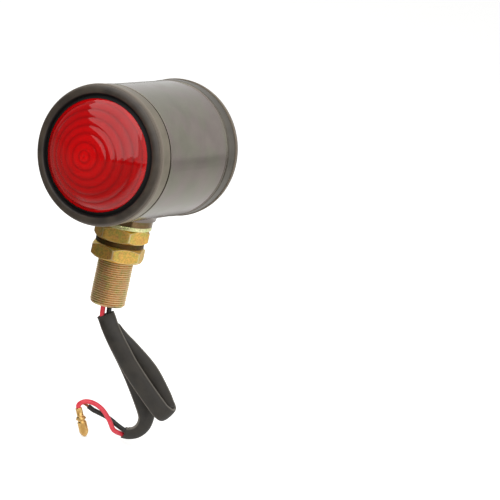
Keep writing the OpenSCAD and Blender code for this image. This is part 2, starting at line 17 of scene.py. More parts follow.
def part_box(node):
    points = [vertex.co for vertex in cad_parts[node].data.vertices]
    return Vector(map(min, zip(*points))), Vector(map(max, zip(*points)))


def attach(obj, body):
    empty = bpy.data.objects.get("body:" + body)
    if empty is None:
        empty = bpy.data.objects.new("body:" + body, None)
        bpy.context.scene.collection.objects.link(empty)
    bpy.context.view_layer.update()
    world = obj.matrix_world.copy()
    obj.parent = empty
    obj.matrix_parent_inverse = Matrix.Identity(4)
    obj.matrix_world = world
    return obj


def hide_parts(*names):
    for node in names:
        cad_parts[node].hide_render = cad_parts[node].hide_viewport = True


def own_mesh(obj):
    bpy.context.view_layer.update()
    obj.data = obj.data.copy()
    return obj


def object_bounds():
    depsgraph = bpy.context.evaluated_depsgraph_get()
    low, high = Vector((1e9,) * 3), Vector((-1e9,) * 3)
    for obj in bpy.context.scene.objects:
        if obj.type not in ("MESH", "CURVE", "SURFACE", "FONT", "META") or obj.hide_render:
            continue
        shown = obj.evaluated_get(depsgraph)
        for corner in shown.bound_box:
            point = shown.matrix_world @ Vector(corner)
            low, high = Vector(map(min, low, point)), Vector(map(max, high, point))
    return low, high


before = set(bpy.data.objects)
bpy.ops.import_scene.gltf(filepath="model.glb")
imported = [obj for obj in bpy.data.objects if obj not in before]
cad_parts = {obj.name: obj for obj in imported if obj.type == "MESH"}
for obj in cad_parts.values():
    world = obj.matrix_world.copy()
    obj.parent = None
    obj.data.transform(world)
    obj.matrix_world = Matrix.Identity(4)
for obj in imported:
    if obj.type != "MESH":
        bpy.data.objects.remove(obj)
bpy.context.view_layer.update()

MM = 0.001

# %% [markdown]
# ## Sizes that drive the shapes
# A new piece has to sit exactly where the measured one is, so its driving sizes are read from the
# boxes of the measured pieces. The red lens faces -Y and the clear lens +Y, and Z runs up the stem.

# %% Read the driving sizes
def low(node, axis):
    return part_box(node)[0][axis] / MM


def high(node, axis):
    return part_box(node)[1][axis] / MM


X, Y, Z = 0, 1, 2
SIDES = {"red": -1, "clear": 1}
barrel_r = high("barrel", X)
barrel_end = high("barrel", Y)
axis_z = high("barrel", Z) - barrel_r
stem_low = low("stem", Z)
thread_r = high("stem", X)
print(f"barrel radius {barrel_r:.2f}, half length {barrel_end:.2f}, axis at {axis_z:.2f} mm")

# %% [markdown]
# ## The camera
# The photograph looks at the red face from its right and a little above, and leans the lamp over.
# The lamp sits left of the middle, so the camera stands on the line to the lamp's centre, then turns
# to look past it.

# %% Place the camera
view_turn = math.radians(27.5)
view_rise = math.radians(9.7)
view_lean = math.radians(11.9)
view_distance = 1400
pixels_per_mm = 2.278
frame_pixels = 500
lamp_centre_px = (138.97, 150.98)

back = Vector((math.sin(view_turn) * math.cos(view_rise), -math.cos(view_turn) * math.cos(view_rise),
               math.sin(view_rise)))
level = Vector((math.cos(view_turn), math.sin(view_turn), 0))
upright = back.cross(level)
right = math.cos(view_lean) * level + math.sin(view_lean) * upright
up = math.cos(view_lean) * upright - math.sin(view_lean) * level
lamp_centre = Vector((0, 0, axis_z))
stand = lamp_centre + back * view_distance
aside = (frame_pixels / 2 - lamp_centre_px[0]) / pixels_per_mm
below = (frame_pixels / 2 - lamp_centre_px[1]) / pixels_per_mm
aim = lamp_centre + right * aside - up * below
ahead = (aim - stand).normalized()
across = ahead.cross(up).normalized()

camera_data = bpy.data.cameras.new("photo_camera")
camera = bpy.data.objects.new("photo_camera", camera_data)
bpy.context.scene.collection.objects.link(camera)
bpy.context.scene.camera = camera
camera_data.sensor_width = 36
camera_data.lens = camera_data.sensor_width * pixels_per_mm * view_distance / frame_pixels
camera_data.clip_start = 0.05
camera_data.clip_end = 60
camera.matrix_world = Matrix.Translation(stand * MM) @ Matrix(
    (across, across.cross(ahead), -ahead)).transposed().to_4x4()
print(f"camera lens {camera_data.lens:.1f} mm, {view_distance} mm from the lamp")

# %% [markdown]
# ## Small helpers for shapes
# Nearly every piece here was turned, spun or drawn on a machine, and the helpers do the same. One
# turns an outline about an axis. One carries an outline along a row of frames, which makes wires,
# coils and the sleeve. One stands a shape on the lamp's axis, at the red or the clear end.

# %% Turn an outline
TURN_STEPS = 128


def arc(centre, radius, start, end, steps):
    """Points on an arc, as (radius, height), from one angle to another in degrees."""
    angles = [math.radians(start + (end - start) * i / steps) for i in range(steps + 1)]
    return [(centre[0] + radius * math.cos(a), centre[1] + radius * math.sin(a)) for a in angles]


def turned(outline, steps=TURN_STEPS, closed=True):
    """Spins an outline of (radius, height) about Z. An open outline ends on the axis."""
    shape = bmesh.new()
    verts = [shape.verts.new((r * MM, 0, z * MM)) for r, z in outline]
    pairs = list(zip(verts, verts[1:])) + ([(verts[-1], verts[0])] if closed else [])
    edges = [shape.edges.new(pair) for pair in pairs]
    bmesh.ops.spin(shape, geom=verts + edges, cent=(0, 0, 0), axis=(0, 0, 1), dvec=(0, 0, 0),
                   angle=math.tau, steps=steps, use_merge=True, use_duplicate=False)
    bmesh.ops.remove_doubles(shape, verts=shape.verts, dist=0.001 * MM)
    bmesh.ops.recalc_face_normals(shape, faces=shape.faces)
    return shape


def on_lamp_axis(shape, side):
    """Lays a shape turned about Z along the lamp's axis: -1 is the red end and 1 the clear end."""
    lay = Matrix.Translation((0, 0, axis_z * MM)) @ Matrix.Rotation(math.radians(-90 * side), 4, "X")
    bmesh.ops.transform(shape, matrix=lay, verts=shape.verts)
    return shape


print("an outline turns in", TURN_STEPS, "steps")

# %% Carry an outline along a row of frames
def circle(radius, sides):
    return [(radius * math.cos(math.tau * k / sides), radius * math.sin(math.tau * k / sides))
            for k in range(sides)]


def frames_along(points, widths=None):
    """A frame at each point: X across, Y through the thickness, Z the way the piece runs."""
    frames = []
    wide = Vector((0, 1, 0))
    for i, point in enumerate(points):
        way = (points[min(i + 1, len(points) - 1)] - points[max(i - 1, 0)]).normalized()
        wide = widths[i] if widths else wide
        wide = (wide - wide.dot(way) * way).normalized()
        made = Matrix((wide, way.cross(wide), way)).transposed().to_4x4()
        made.translation = point * MM
        frames.append(made)
    return frames


def swept(outline, frames, capped=True):
    """Extrudes an outline of (across, through) from each frame to the next."""
    shape = bmesh.new()
    verts = [shape.verts.new(frames[0] @ Vector((x * MM, y * MM, 0))) for x, y in outline]
    edges = [shape.edges.new(pair) for pair in zip(verts, verts[1:] + verts[:1])]
    for before, after in zip(frames, frames[1:]):
        grown = bmesh.ops.extrude_edge_only(shape, edges=edges)["geom"]
        verts = [g for g in grown if isinstance(g, bmesh.types.BMVert)]
        edges = [g for g in grown if isinstance(g, bmesh.types.BMEdge) and g.is_boundary]
        bmesh.ops.transform(shape, matrix=after @ before.inverted(), verts=verts)
    if capped:
        bmesh.ops.holes_fill(shape, edges=shape.edges, sides=0)
    bmesh.ops.recalc_face_normals(shape, faces=shape.faces)
    return shape


print("frames and sweeps ready")

# %% Smooth curves through chosen points
def smooth_at(points, i, t):
    """A point between points i and i + 1, on the curve that passes through them all."""
    a, b, c, d = (points[min(max(k, 0), len(points) - 1)] for k in (i - 1, i, i + 1, i + 2))
    return 0.5 * (2 * b + (c - a) * t + (2 * a - 5 * b + 4 * c - d) * t ** 2
                  + (3 * b - a - 3 * c + d) * t ** 3)


def smoothed(points, steps):
    """The curve through the points, with so many stretches between two of them."""
    made = [smooth_at(points, i, k / steps) for i in range(len(points) - 1) for k in range(steps)]
    return made + [points[-1].copy()]


print("curves pass through their points")

# %% [markdown]
# ## Small helpers for finishes
# A colour is written as its screen value and turned to linear light by one function. One function
# adds a node, sets its properties, and fills its sockets from numbers or from other nodes. A finish
# starts from its real material's typical colour, gloss and metal, then gets its own pattern.

# %% Colours and nodes
def linear(text):
    """A screen colour such as #8d857b as linear red, green, blue and alpha."""
    parts = [int(text[i:i + 2], 16) / 255 for i in (1, 3, 5)]
    return [c / 12.92 if c <= 0.04045 else ((c + 0.055) / 1.055) ** 2.4 for c in parts] + [1]


def add(tree, kind, sockets=None, **settings):
    """Adds a node, sets its properties, and fills its sockets with values or other sockets."""
    made = tree.nodes.new("ShaderNode" + kind)
    for name, value in settings.items():
        setattr(made, name, value)
    for name, value in (sockets or {}).items():
        if isinstance(value, bpy.types.NodeSocket):
            tree.links.new(value, made.inputs[name])
        else:
            made.inputs[name].default_value = value
    return made


def reckon(tree, operation, first, second):
    """One sum of two numbers in a node tree."""
    return add(tree, "Math", {0: first, 1: second}, operation=operation).outputs[0]


def along(tree, place, way):
    """How far a place, or a direction, goes this way."""
    return add(tree, "VectorMath", {0: place, 1: way}, operation="DOT_PRODUCT").outputs["Value"]


def new_finish(name, colour, roughness, **values):
    """A material with its shader, and the object's own coordinates in millimetres."""
    material = bpy.data.materials.new(name)
    material.use_nodes = True
    tree = material.node_tree
    tree.nodes.clear()
    sockets = {"Base Color": linear(colour), "Roughness": roughness, **values}
    shader = add(tree, "BsdfPrincipled", sockets)
    add(tree, "OutputMaterial", {"Surface": shader.outputs["BSDF"]})
    where = add(tree, "TexCoord")
    scaled = add(tree, "Mapping", {"Vector": where.outputs["Object"], "Scale": (1 / MM,) * 3})
    return material, tree, shader, scaled.outputs["Vector"]


print("a finish is a shader plus a pattern in millimetres")

# %% Patterns that repeat in several finishes
def mottle(tree, where, size, detail=2, stretch=(1, 1, 1)):
    """Uneven patches of this size in millimetres, drawn out along an axis by stretch."""
    laid = add(tree, "Mapping", {"Vector": where, "Scale": [1 / (size * s) for s in stretch]})
    made = add(tree, "TexNoise", {"Vector": laid.outputs["Vector"], "Scale": 1, "Detail": detail})
    return made.outputs["Fac"]


def blend_colours(tree, share, first, second, low_share=0.35, high_share=0.65):
    """Goes from one colour to another as a pattern rises."""
    ramp = add(tree, "ValToRGB", {"Fac": share})
    ramp.color_ramp.elements[0].position = low_share
    ramp.color_ramp.elements[0].color = linear(first)
    ramp.color_ramp.elements[1].position = high_share
    ramp.color_ramp.elements[1].color = linear(second)
    return ramp.outputs["Color"]


def spread(tree, share, low_value, high_value, low_share=0.3, high_share=0.7):
    """Turns a pattern into a number between two values."""
    made = add(tree, "MapRange", {"Value": share, "From Min": low_share, "From Max": high_share,
                                  "To Min": low_value, "To Max": high_value})
    return made.outputs["Result"]


def marked(tree, name, amount=1, start=0):
    """A mesh's own mark as a share: nothing at the start, and this amount where it is full."""
    mark = add(tree, "Attribute", attribute_name=name)
    return spread(tree, mark.outputs["Fac"], 0, amount, start, 1)


def laid_over(tree, share, under, over):
    """Covers one colour with another as a share rises."""
    made = add(tree, "Mix", {"Factor": share, "A": under, "B": over}, data_type="RGBA")
    return made.outputs["Result"]


print("patterns come as patches, blends, marks and layers")

# %% What a pattern does to a surface
def colour_from(tree, shader, socket):
    tree.links.new(socket, shader.inputs["Base Color"])


def gloss_from(tree, shader, share, low_rough, high_rough, low_share=0.3, high_share=0.7):
    """Goes from one roughness to another as a pattern rises."""
    rough = spread(tree, share, low_rough, high_rough, low_share, high_share)
    tree.links.new(rough, shader.inputs["Roughness"])


def raise_surface(tree, shader, height, depth):
    """Feeds a height pattern to the shader as a bump this deep, in millimetres."""
    made = add(tree, "Bump", {"Height": height, "Distance": depth * MM, "Strength": 1})
    tree.links.new(made.outputs["Normal"], shader.inputs["Normal"])


print("a pattern can colour, roughen or raise a surface")

# %% [markdown]
# ## Finishes of the head
# The barrel and its end rings are steel with a dark nickel plate: a smooth mirror with a brown-grey
# tint, faint polishing marks round the barrel, and soft smudges that change its gloss. The end ring
# beside the clear lens is painted darker than the one beside the red lens, as painted shade. The
# rings that hold the lenses are moulded rubber, nearly black, with a fine grain and a dusty bloom.
# Their outer sides are painted paler, partly as dust and partly as painted sheen, and the trench
# round each lens is painted black as painted shade, as two mesh attributes say.

# %% Dark nickel plate
def dark_nickel_plate():
    material, tree, shader, where = new_finish("dark_nickel_plate", "#7f776d", 0.2, Metallic=1)
    smudge = mottle(tree, where, 9, 3)
    stain = mottle(tree, where, 14, 2)
    lines = mottle(tree, where, 0.5, 2, stretch=(30, 1, 30))
    base = blend_colours(tree, smudge, "#7b7469", "#898276")
    tint = blend_colours(tree, stain, "#827476", "#777a6a", 0.4, 0.6)
    colour_from(tree, shader, laid_over(tree, 0.4, base, tint))
    gloss_from(tree, shader, smudge, 0.16, 0.26)
    raise_surface(tree, shader, lines, 0.004)
    return material


plate = dark_nickel_plate()
print("made", plate.name)


# %% Moulded rubber
def moulded_rubber():
    material, tree, shader, where = new_finish("moulded_rubber", "#2e2822", 0.42)
    bloom = mottle(tree, where, 7, 4)
    grain = mottle(tree, where, 0.4, 3)
    shade = blend_colours(tree, bloom, "#312a24", "#42392f")
    # The first mark paints the outer side paler, partly as dust and partly as painted sheen; the second
    # paints the trench beside the lens black as painted shade.
    for name, colour, amount in (("dust_and_sheen", "#887c6e", 0.85), ("trench_shade", "#050505", 1)):
        shade = laid_over(tree, marked(tree, name, amount), shade, linear(colour))
    colour_from(tree, shader, shade)
    gloss_from(tree, shader, marked(tree, "trench_shade"), 0.42, 0.8, 0, 1)
    raise_surface(tree, shader, grain, 0.02)
    return material


rubber = moulded_rubber()
print("made", rubber.name)


# %% Satin nickel plate
def satin_nickel_plate(name, fresh, dull):
    """The end rings were brushed before plating, so they are softer than the barrel."""
    material, tree, shader, where = new_finish(name, fresh, 0.36, Metallic=1)
    smudge = mottle(tree, where, 6, 3)
    lines = mottle(tree, where, 0.4, 2, stretch=(30, 1, 30))
    colour_from(tree, shader, blend_colours(tree, smudge, dull, fresh))
    gloss_from(tree, shader, smudge, 0.32, 0.42)
    raise_surface(tree, shader, lines, 0.006)
    return material


# The ring beside the clear lens gets a darker copy of the same plate, as painted shade.
satin_plates = {"red": satin_nickel_plate("satin_nickel_plate", "#8b8373", "#7d7566"),
                "clear": satin_nickel_plate("shaded_nickel_plate", "#6c675e", "#5d5952")}
print("made", " and ".join(m.name for m in satin_plates.values()))

# %% [markdown]
# ## Finishes of the lenses
# Both lenses are moulded acrylic. The red one is dyed through and lets little light out, so it reads
# as deep red, with darker lines of painted shade where its ribs crest. The clear one is water-clear
# with a slight lilac cast, and its crests carry thin pale lines of painted highlight. Each lens is
# painted brighter in its middle and near its edge, as painted glow of light coming through it, and
# darker between. Light passes through both, so the far lens shows in the near one. Fine scuffs take
# a little off the gloss of plain acrylic.

# %% Dyed red acrylic and clear acrylic
SCUFFED_GLOSS = 0.4


def lens_acrylic(name, colours, transmission, roughness, crest_share, crest_from):
    """Its tint wanders, is painted brighter as glow in the middle and at the edge, and takes a painted
    crest colour where a rib crests: shade on the red lens, highlight on the clear one.
    """
    glow_colour, unlit_colour, crest_shading = colours
    material, tree, shader, where = new_finish(name, glow_colour, roughness, **{
        "IOR": 1.49, "Specular IOR Level": SCUFFED_GLOSS, "Transmission Weight": transmission})
    # Painted glow: brighter near the middle and the edge, darker between.
    sway = spread(tree, mottle(tree, where, 11, 2), -0.12, 0.12)
    depth = reckon(tree, "ADD", marked(tree, "away"), sway)
    shade = blend_colours(tree, depth, glow_colour, unlit_colour, 0.1, 0.95)
    # Painted crest lines: painted shade on the red lens, painted highlight on the clear one.
    ribs = marked(tree, "crest_shading", crest_share, crest_from)
    colour_from(tree, shader, laid_over(tree, ribs, shade, linear(crest_shading)))
    raise_surface(tree, shader, mottle(tree, where, 3, 1), 0.01)
    return material


# Colours: where the painted glow is full, where it is gone, and the painted crest colour.
red_acrylic = lens_acrylic("dyed_red_acrylic", ("#f6070d", "#d5060c", "#920307"), 0.56, 0.04, 0.55, 0.1)
clear_acrylic = lens_acrylic("clear_acrylic", ("#e6e8fa", "#dcdef4", "#ffffff"), 0.88, 0.015, 1, 0.6)
print("made", red_acrylic.name, "and", clear_acrylic.name)

# %% [markdown]
# ## Finishes of the stem and nuts
# Stem, nuts and washers are steel with yellow chromate over zinc. The film is so thin that it
# shows interference colours: gold that drifts to green and pink in patches of a few millimetres, with
# fine specks and a sparkle from the machined surface below. A nut's edges and the thread's crests are
# painted pale, partly as rubbed wear and partly as painted highlight. The real specks are finer than
# the 0.8 mm drawn here, which is the least that shows in a picture of the whole lamp.

# %% Yellow chromated zinc
CREST_CUT, CREST_FADE = 0.06, 0.32
RUBBED_AND_LIT_FILM = "#ecdcae"


def chromated_zinc(name, gold, green, pink, roughness, worn=None):
    """Its film drifts in tint, is speckled finely, and may be painted pale where a mask says so, as wear
    and painted highlight.
    """
    material, tree, shader, where = new_finish(name, gold, roughness, Metallic=1)
    drift = mottle(tree, where, 3.2, 3)
    sparkle = mottle(tree, where, 0.7, 3)
    body = blend_colours(tree, drift, green, gold, 0.36, 0.55)
    patch = spread(tree, mottle(tree, where, 2.1, 2), 0, 0.55, 0.52, 0.72)
    tinted = laid_over(tree, patch, body, linear(pink))
    speck = spread(tree, mottle(tree, where, 0.8, 2), 0.86, 1.14, 0.35, 0.65)
    specked = add(tree, "VectorMath", {0: tinted, 1: speck}, operation="MULTIPLY")
    shade = specked.outputs["Vector"]
    # The worn mask paints a pale film: partly rubbed wear, partly painted highlight.
    if worn:
        shade = laid_over(tree, worn(tree, where), shade, linear(RUBBED_AND_LIT_FILM))
    colour_from(tree, shader, shade)
    gloss_from(tree, shader, sparkle, roughness - 0.08, roughness + 0.12)
    raise_surface(tree, shader, sparkle, 0.012)
    return material


def worn_and_lit_edges(tree, where):
    """Pale along the mesh's own edge mark, which a nut writes at its corners: wear and painted highlight.
    """
    return marked(tree, "edge", 0.9, 0.6)


def worn_and_lit_crests(tree, where):
    """Pale where the thread stands furthest from the stem's axis: wear and painted highlight."""
    flat = add(tree, "VectorMath", {0: where, 1: (1, 1, 0)}, operation="MULTIPLY")
    reach = add(tree, "VectorMath", {0: flat.outputs["Vector"]}, operation="LENGTH")
    return spread(tree, reach.outputs["Value"], 0, 1, thread_r - CREST_FADE, thread_r - CREST_CUT)


yellow_zinc = chromated_zinc("yellow_chromated_zinc", "#e9bd64", "#cfbd62", "#dd9d66", 0.42, worn_and_lit_edges)
thread_zinc = chromated_zinc("chromated_thread", "#dcb488", "#c3b876", "#d5a284", 0.42, worn_and_lit_crests)
pale_zinc = chromated_zinc("pale_chromated_zinc", "#ece8ae", "#dde6a0", "#e6dba9", 0.3)
# The lock washer's yellow film is painted dark brown, as painted shade between the nuts.
shaded_zinc = chromated_zinc("shaded_chromated_zinc", "#5c4526", "#524c2a", "#583a26", 0.5)
# The polished collar's film is painted dark brown, as painted shade under the barrel.
shaded_bright_zinc = chromated_zinc("shaded_polished_zinc", "#7f6648", "#746846", "#7b5f4a", 0.12)
print("made five chromated finishes")

# %% [markdown]
# ## Finishes of the lead
# The sleeve is soft extruded vinyl, flattened, with creased edges that catch the light, so its
# mesh carries an attribute that says how near the crease a point is. The two wires are vinyl too,
# glossier, in red and black. The terminal is drawn brass, a little tarnished.

# %% Extruded vinyl, plain or creased
def extruded_vinyl(name, colour, worn, roughness, creased=False):
    material, tree, shader, where = new_finish(name, colour, roughness)
    drift = mottle(tree, where, 5, 3)
    shade = blend_colours(tree, drift, colour, worn)
    if creased:
        shade = laid_over(tree, marked(tree, "crease", 0.85, 0.86), shade, linear("#7d776d"))
    colour_from(tree, shader, shade)
    gloss_from(tree, shader, drift, roughness - 0.06, roughness + 0.08)
    raise_surface(tree, shader, mottle(tree, where, 0.5, 2), 0.015)
    return material


sleeve_vinyl = extruded_vinyl("sleeve_vinyl", "#231f1a", "#302b24", 0.5, creased=True)
red_vinyl = extruded_vinyl("red_wire_vinyl", "#dc2b3b", "#e64654", 0.33)
black_vinyl = extruded_vinyl("black_wire_vinyl", "#161513", "#1f1e1b", 0.36)
print("made three vinyls")


# %% Metals and insulators inside
def worked_metal(name, colour, tarnish, roughness, size=2.5):
    material, tree, shader, where = new_finish(name, colour, roughness, Metallic=1)
    film = mottle(tree, where, size, 4)
    colour_from(tree, shader, blend_colours(tree, film, tarnish, colour))
    gloss_from(tree, shader, film, roughness + 0.14, roughness - 0.04)
    raise_surface(tree, shader, mottle(tree, where, 0.6, 2), 0.008)
    return material


def pressed_board(name, colour, fleck, roughness):
    material, tree, shader, where = new_finish(name, colour, roughness)
    fibres = mottle(tree, where, 0.5, 4, stretch=(4, 1, 1))
    colour_from(tree, shader, blend_colours(tree, fibres, colour, fleck))
    raise_surface(tree, shader, fibres, 0.03)
    return material


drawn_brass = worked_metal("drawn_brass", "#eec984", "#c89d5c", 0.24)
strip_steel = worked_metal("strip_steel", "#b9babb", "#9c9a95", 0.3, 6)
bare_copper = worked_metal("bare_copper", "#cf8a5c", "#8f5433", 0.28)
tungsten = worked_metal("drawn_tungsten", "#7d7b78", "#5f5c58", 0.4)
fibre_board = pressed_board("fibre_board", "#6b3f24", "#84532f", 0.6)
bakelite = pressed_board("moulded_bakelite", "#1c1a18", "#2a2724", 0.4)
print("made four metals and two insulators")


# %% Bulb glass
def blown_glass():
    """Thin clear soda glass: nearly no colour, and only a faint wave in its surface."""
    material, tree, shader, where = new_finish(
        "blown_bulb_glass", "#f2f6f6", 0.02, **{"IOR": 1.5, "Transmission Weight": 1})
    raise_surface(tree, shader, mottle(tree, where, 6, 1), 0.02)
    return material


bulb_glass = blown_glass()
print("made", bulb_glass.name)

# %% [markdown]
# ## Adding a finished piece
# A finished shape becomes an object at the origin with its place in its mesh, smooth where its
# faces meet softly and crisp at its edges. It rides on the body that carries it on the real lamp, and
# names the measured pieces it stands for. A measured piece whose shape is right only gets a finish.

# %% Make an object from a shape
CRISP_ANGLE = math.radians(32)


def object_of(name, shape, finish):
    """An object at the origin, with its place in its mesh."""
    mesh = bpy.data.meshes.new(name)
    shape.to_mesh(mesh)
    shape.free()
    mesh.materials.append(finish)
    made = bpy.data.objects.new(name, mesh)
    bpy.context.scene.collection.objects.link(made)
    return made


def add_piece(name, shape, finish, body, stands_for=()):
    """Turns a shape into a piece that rides on a body and replaces measured nodes."""
    piece = object_of(name, shape, finish)
    piece.data.shade_smooth()
    piece.data.set_sharp_from_angle(angle=CRISP_ANGLE)
    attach(piece, body)
    if stands_for:
        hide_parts(*stands_for)
    print(f"{name}: {len(piece.data.polygons)} faces, rides on {body}")
    return piece


def dress(finish, *nodes):
    """Gives measured nodes a finish in place of their plain one."""
    for name in nodes:
        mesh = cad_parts[name].data
        mesh.materials.clear()
        mesh.materials.append(finish)
    print("dressed", ", ".join(nodes))


print("a piece rides on a body, and a measured node can be dressed")

# %% [markdown]
# ## The cord's route
# The lead comes straight down from the stem's mouth as two wires. A flattened sleeve takes them in
# almost at once, is folded into three strips one behind another, and lets them out at its far mouth.
# The route is the measured model's own list of points, in a plane that faces the camera: across,
# away from the camera, height below the stem, and the turn and lean of the sleeve's wide side.

# %% Points of the sleeve
CORD_TURN = math.radians(27.5)
SLEEVE_ROUTE = [
    (0.3, 0, -4.7, 33, 0), (1.4, 0, -6.4, 33, 0), (3.3, -1.2, -9.4, 34, 0), (6.7, -2.5, -14.1, 36, 0),
    (10.7, -3, -19, 38, 0), (15, -3, -24.3, 40, 0), (22.8, -3, -32.4, 45, 0), (31.6, -3, -40.8, 50, 0),
    (34.3, -2.6, -42.9, 53, 0), (36.2, -0.2, -44, 52, 0), (36.4, 2.6, -42.6, 46, 0),
    (34.5, 3.1, -39.6, 40, 0), (31.9, 3, -35.7, 36, 0), (24.7, 3, -26.9, 42, 0), (15.5, 3, -19.5, 51, 0),
    (10.2, 3.3, -15.9, 52, 0), (6.7, 4.2, -13.4, 50, 0), (4.8, 6.3, -12.3, 44, 0),
    (5.3, 8.5, -14.2, 34, 0), (7.6, 9, -18, 32, 0), (15, 9, -27.7, 36, 0), (21.8, 9, -37.8, 31, 4),
    (27, 9, -46.9, 24, 22), (27.7, 9, -51.2, 2, 32), (26.7, 8.9, -54.6, -28, 36),
    (24.5, 8.7, -57, -55, 38), (21.7, 8.4, -58.1, -80, 40), (20.3, 8.2, -58.2, -92, 40),
    (19.2, 8, -58.1, -95, 40)]
RED_TAIL_ROUTE = [
    (14.6, 6.4, -57.6), (12, 6, -53.8), (8.7, 6, -50), (5.5, 6, -47.9), (2.4, 6, -47), (-0.2, 6, -47.1),
    (-2, 6, -48), (-3, 6, -49.2)]
BLACK_TAIL_ROUTE = [(15.6, 8.6, -55.5), (13, 9, -54.1), (10, 9, -52.8), (7, 9, -51.9), (4, 9, -51.1)]
TERMINAL_AT = Vector((-2.6, 6, -51.2))
TERMINAL_TILT = math.radians(24)
STRANDS_AT = Vector((1.2, 9, -49.8))
STRANDS_TILT = math.radians(66)
print(len(SLEEVE_ROUTE), "points on the sleeve's route")

# %% Frames of the sleeve
SLEEVE_STEPS = 6


def wide_way(turn, lean):
    """The way that the sleeve's wide side points."""
    turn, lean = math.radians(turn), math.radians(lean)
    flat = math.cos(lean)
    return Vector((math.cos(turn) * flat, math.sin(lean), math.sin(turn) * flat))


route = smoothed([Vector(p[:3]) for p in SLEEVE_ROUTE], SLEEVE_STEPS)
turns = smoothed([Vector((p[3], p[4], 0)) for p in SLEEVE_ROUTE], SLEEVE_STEPS)
plane_frames = frames_along(route, [wide_way(t[0], t[1]) for t in turns])
from_cord_plane = Matrix.Rotation(CORD_TURN, 4, "Z") @ Matrix.Translation((0, 0, stem_low * MM))
sleeve_frames = [from_cord_plane @ f for f in plane_frames]

# %% [markdown]
# ## The sleeve
# It is an extruded tube pressed flat, so its section is a squashed oval with tight edges. The
# section is swept along the frames, and Solidify gives the vinyl its half-millimetre wall, so both
# mouths are open and dark as on the real one.

# %% Sweep the sleeve
SLEEVE_W, SLEEVE_T, SLEEVE_WALL = 8, 3.4, 0.5
SLEEVE_SIDES = 36
EDGE_TIGHTNESS, FACE_FLATNESS = 0.9, 1.1


def squashed_oval(k):
    """A point of the flattened section: nearly flat sides that meet in tight edges."""
    a = math.tau * k / SLEEVE_SIDES
    c, s = math.cos(a), math.sin(a)
    return (SLEEVE_W / 2 * math.copysign(abs(c) ** EDGE_TIGHTNESS, c),
            SLEEVE_T / 2 * math.copysign(abs(s) ** FACE_FLATNESS, s))


sleeve_outline = [squashed_oval(k) for k in range(SLEEVE_SIDES)]
sleeve = add_piece("vinyl_sleeve", swept(sleeve_outline, sleeve_frames, capped=False), sleeve_vinyl, "stem",
                   ["sleeve"])
crease = sleeve.data.attributes.new("crease", "FLOAT", "POINT")
flat_frames = [f.inverted() for f in sleeve_frames]
for i, vertex in enumerate(sleeve.data.vertices):
    local = flat_frames[i // SLEEVE_SIDES] @ vertex.co
    crease.data[i].value = abs(local.x) / (SLEEVE_W / 2 * MM)
wall = sleeve.modifiers.new("vinyl wall", "SOLIDIFY")
wall.thickness = SLEEVE_WALL * MM
wall.offset = -1
wall.use_even_offset = False

# %% [markdown]
# ## The two wires
# Each wire is one piece from the stem's mouth to its own end, as on the real lamp. Inside the
# sleeve they lie side by side, and they change places once, because the red wire goes in on the
# left of the picture and comes out at the bottom.

# %% Route the wires
WIRE_R = 1.1
WIRE_GAP = 1.4
MOUTH_GAP = 1.6
WIRE_STRAIGHT = 1
WIRE_STEPS = 3
FRAMES_APART = 3
SWAP_FROM, SWAP_TO, SWAP_APART = 0.62, 0.74, 0.55


def inside_sleeve(share, side):
    """How far a wire lies to the side and through the thickness, at a share of the sleeve."""
    t = min(max((share - SWAP_FROM) / (SWAP_TO - SWAP_FROM), 0), 1)
    return side * MOUTH_GAP * math.cos(math.pi * t), side * SWAP_APART * math.sin(math.pi * t)


def wire_points(side, tail, tip, way):
    """The wire from the stem's mouth through the sleeve to its tip, in the cord's plane."""
    last = len(plane_frames) - 1
    mouth = [Vector((side * WIRE_GAP, 0, 0)), Vector((side * WIRE_GAP, 0, -WIRE_STRAIGHT))]
    through = []
    for i in range(0, last + 1, FRAMES_APART):
        x, y = inside_sleeve(i / last, side)
        through.append((plane_frames[i] @ Vector((x * MM, y * MM, 0))) / MM)
    out = [Vector(p) for p in tail] + [tip - way * WIRE_STRAIGHT, tip]
    return smoothed(mouth + through + out, WIRE_STEPS)


def way_of(tilt):
    return Vector((math.sin(tilt), 0, math.cos(tilt)))


terminal_way = way_of(math.pi - TERMINAL_TILT)
strands_way = way_of(-STRANDS_TILT)
routes = {"red": wire_points(-1, RED_TAIL_ROUTE, TERMINAL_AT, terminal_way),
          "black": wire_points(1, BLACK_TAIL_ROUTE, STRANDS_AT, strands_way)}

# %% Sweep the wires
WIRE_SIDES = 20
stood_for = {"red": ["red_lead", "red_tail"], "black": ["black_lead", "black_tail"]}
wires, wire_paths = {}, {}
for name, vinyl in (("red", red_vinyl), ("black", black_vinyl)):
    wire_frames = [from_cord_plane @ f for f in frames_along(routes[name])]
    wires[name] = add_piece(f"{name}_wire", swept(circle(WIRE_R, WIRE_SIDES), wire_frames), vinyl, "stem",
                            stood_for[name])
    wire_paths[name] = [list(f.translation) for f in wire_frames]

# %% [markdown]
# ## The two ends
# The red wire ends in a brass bullet: a crimped barrel, a collar, and a pointed plug that clips into
# its socket. It is turned, then its crimp is pinched. The black wire is only stripped: seven copper
# strands with a light twist, each one swept along its own helix.

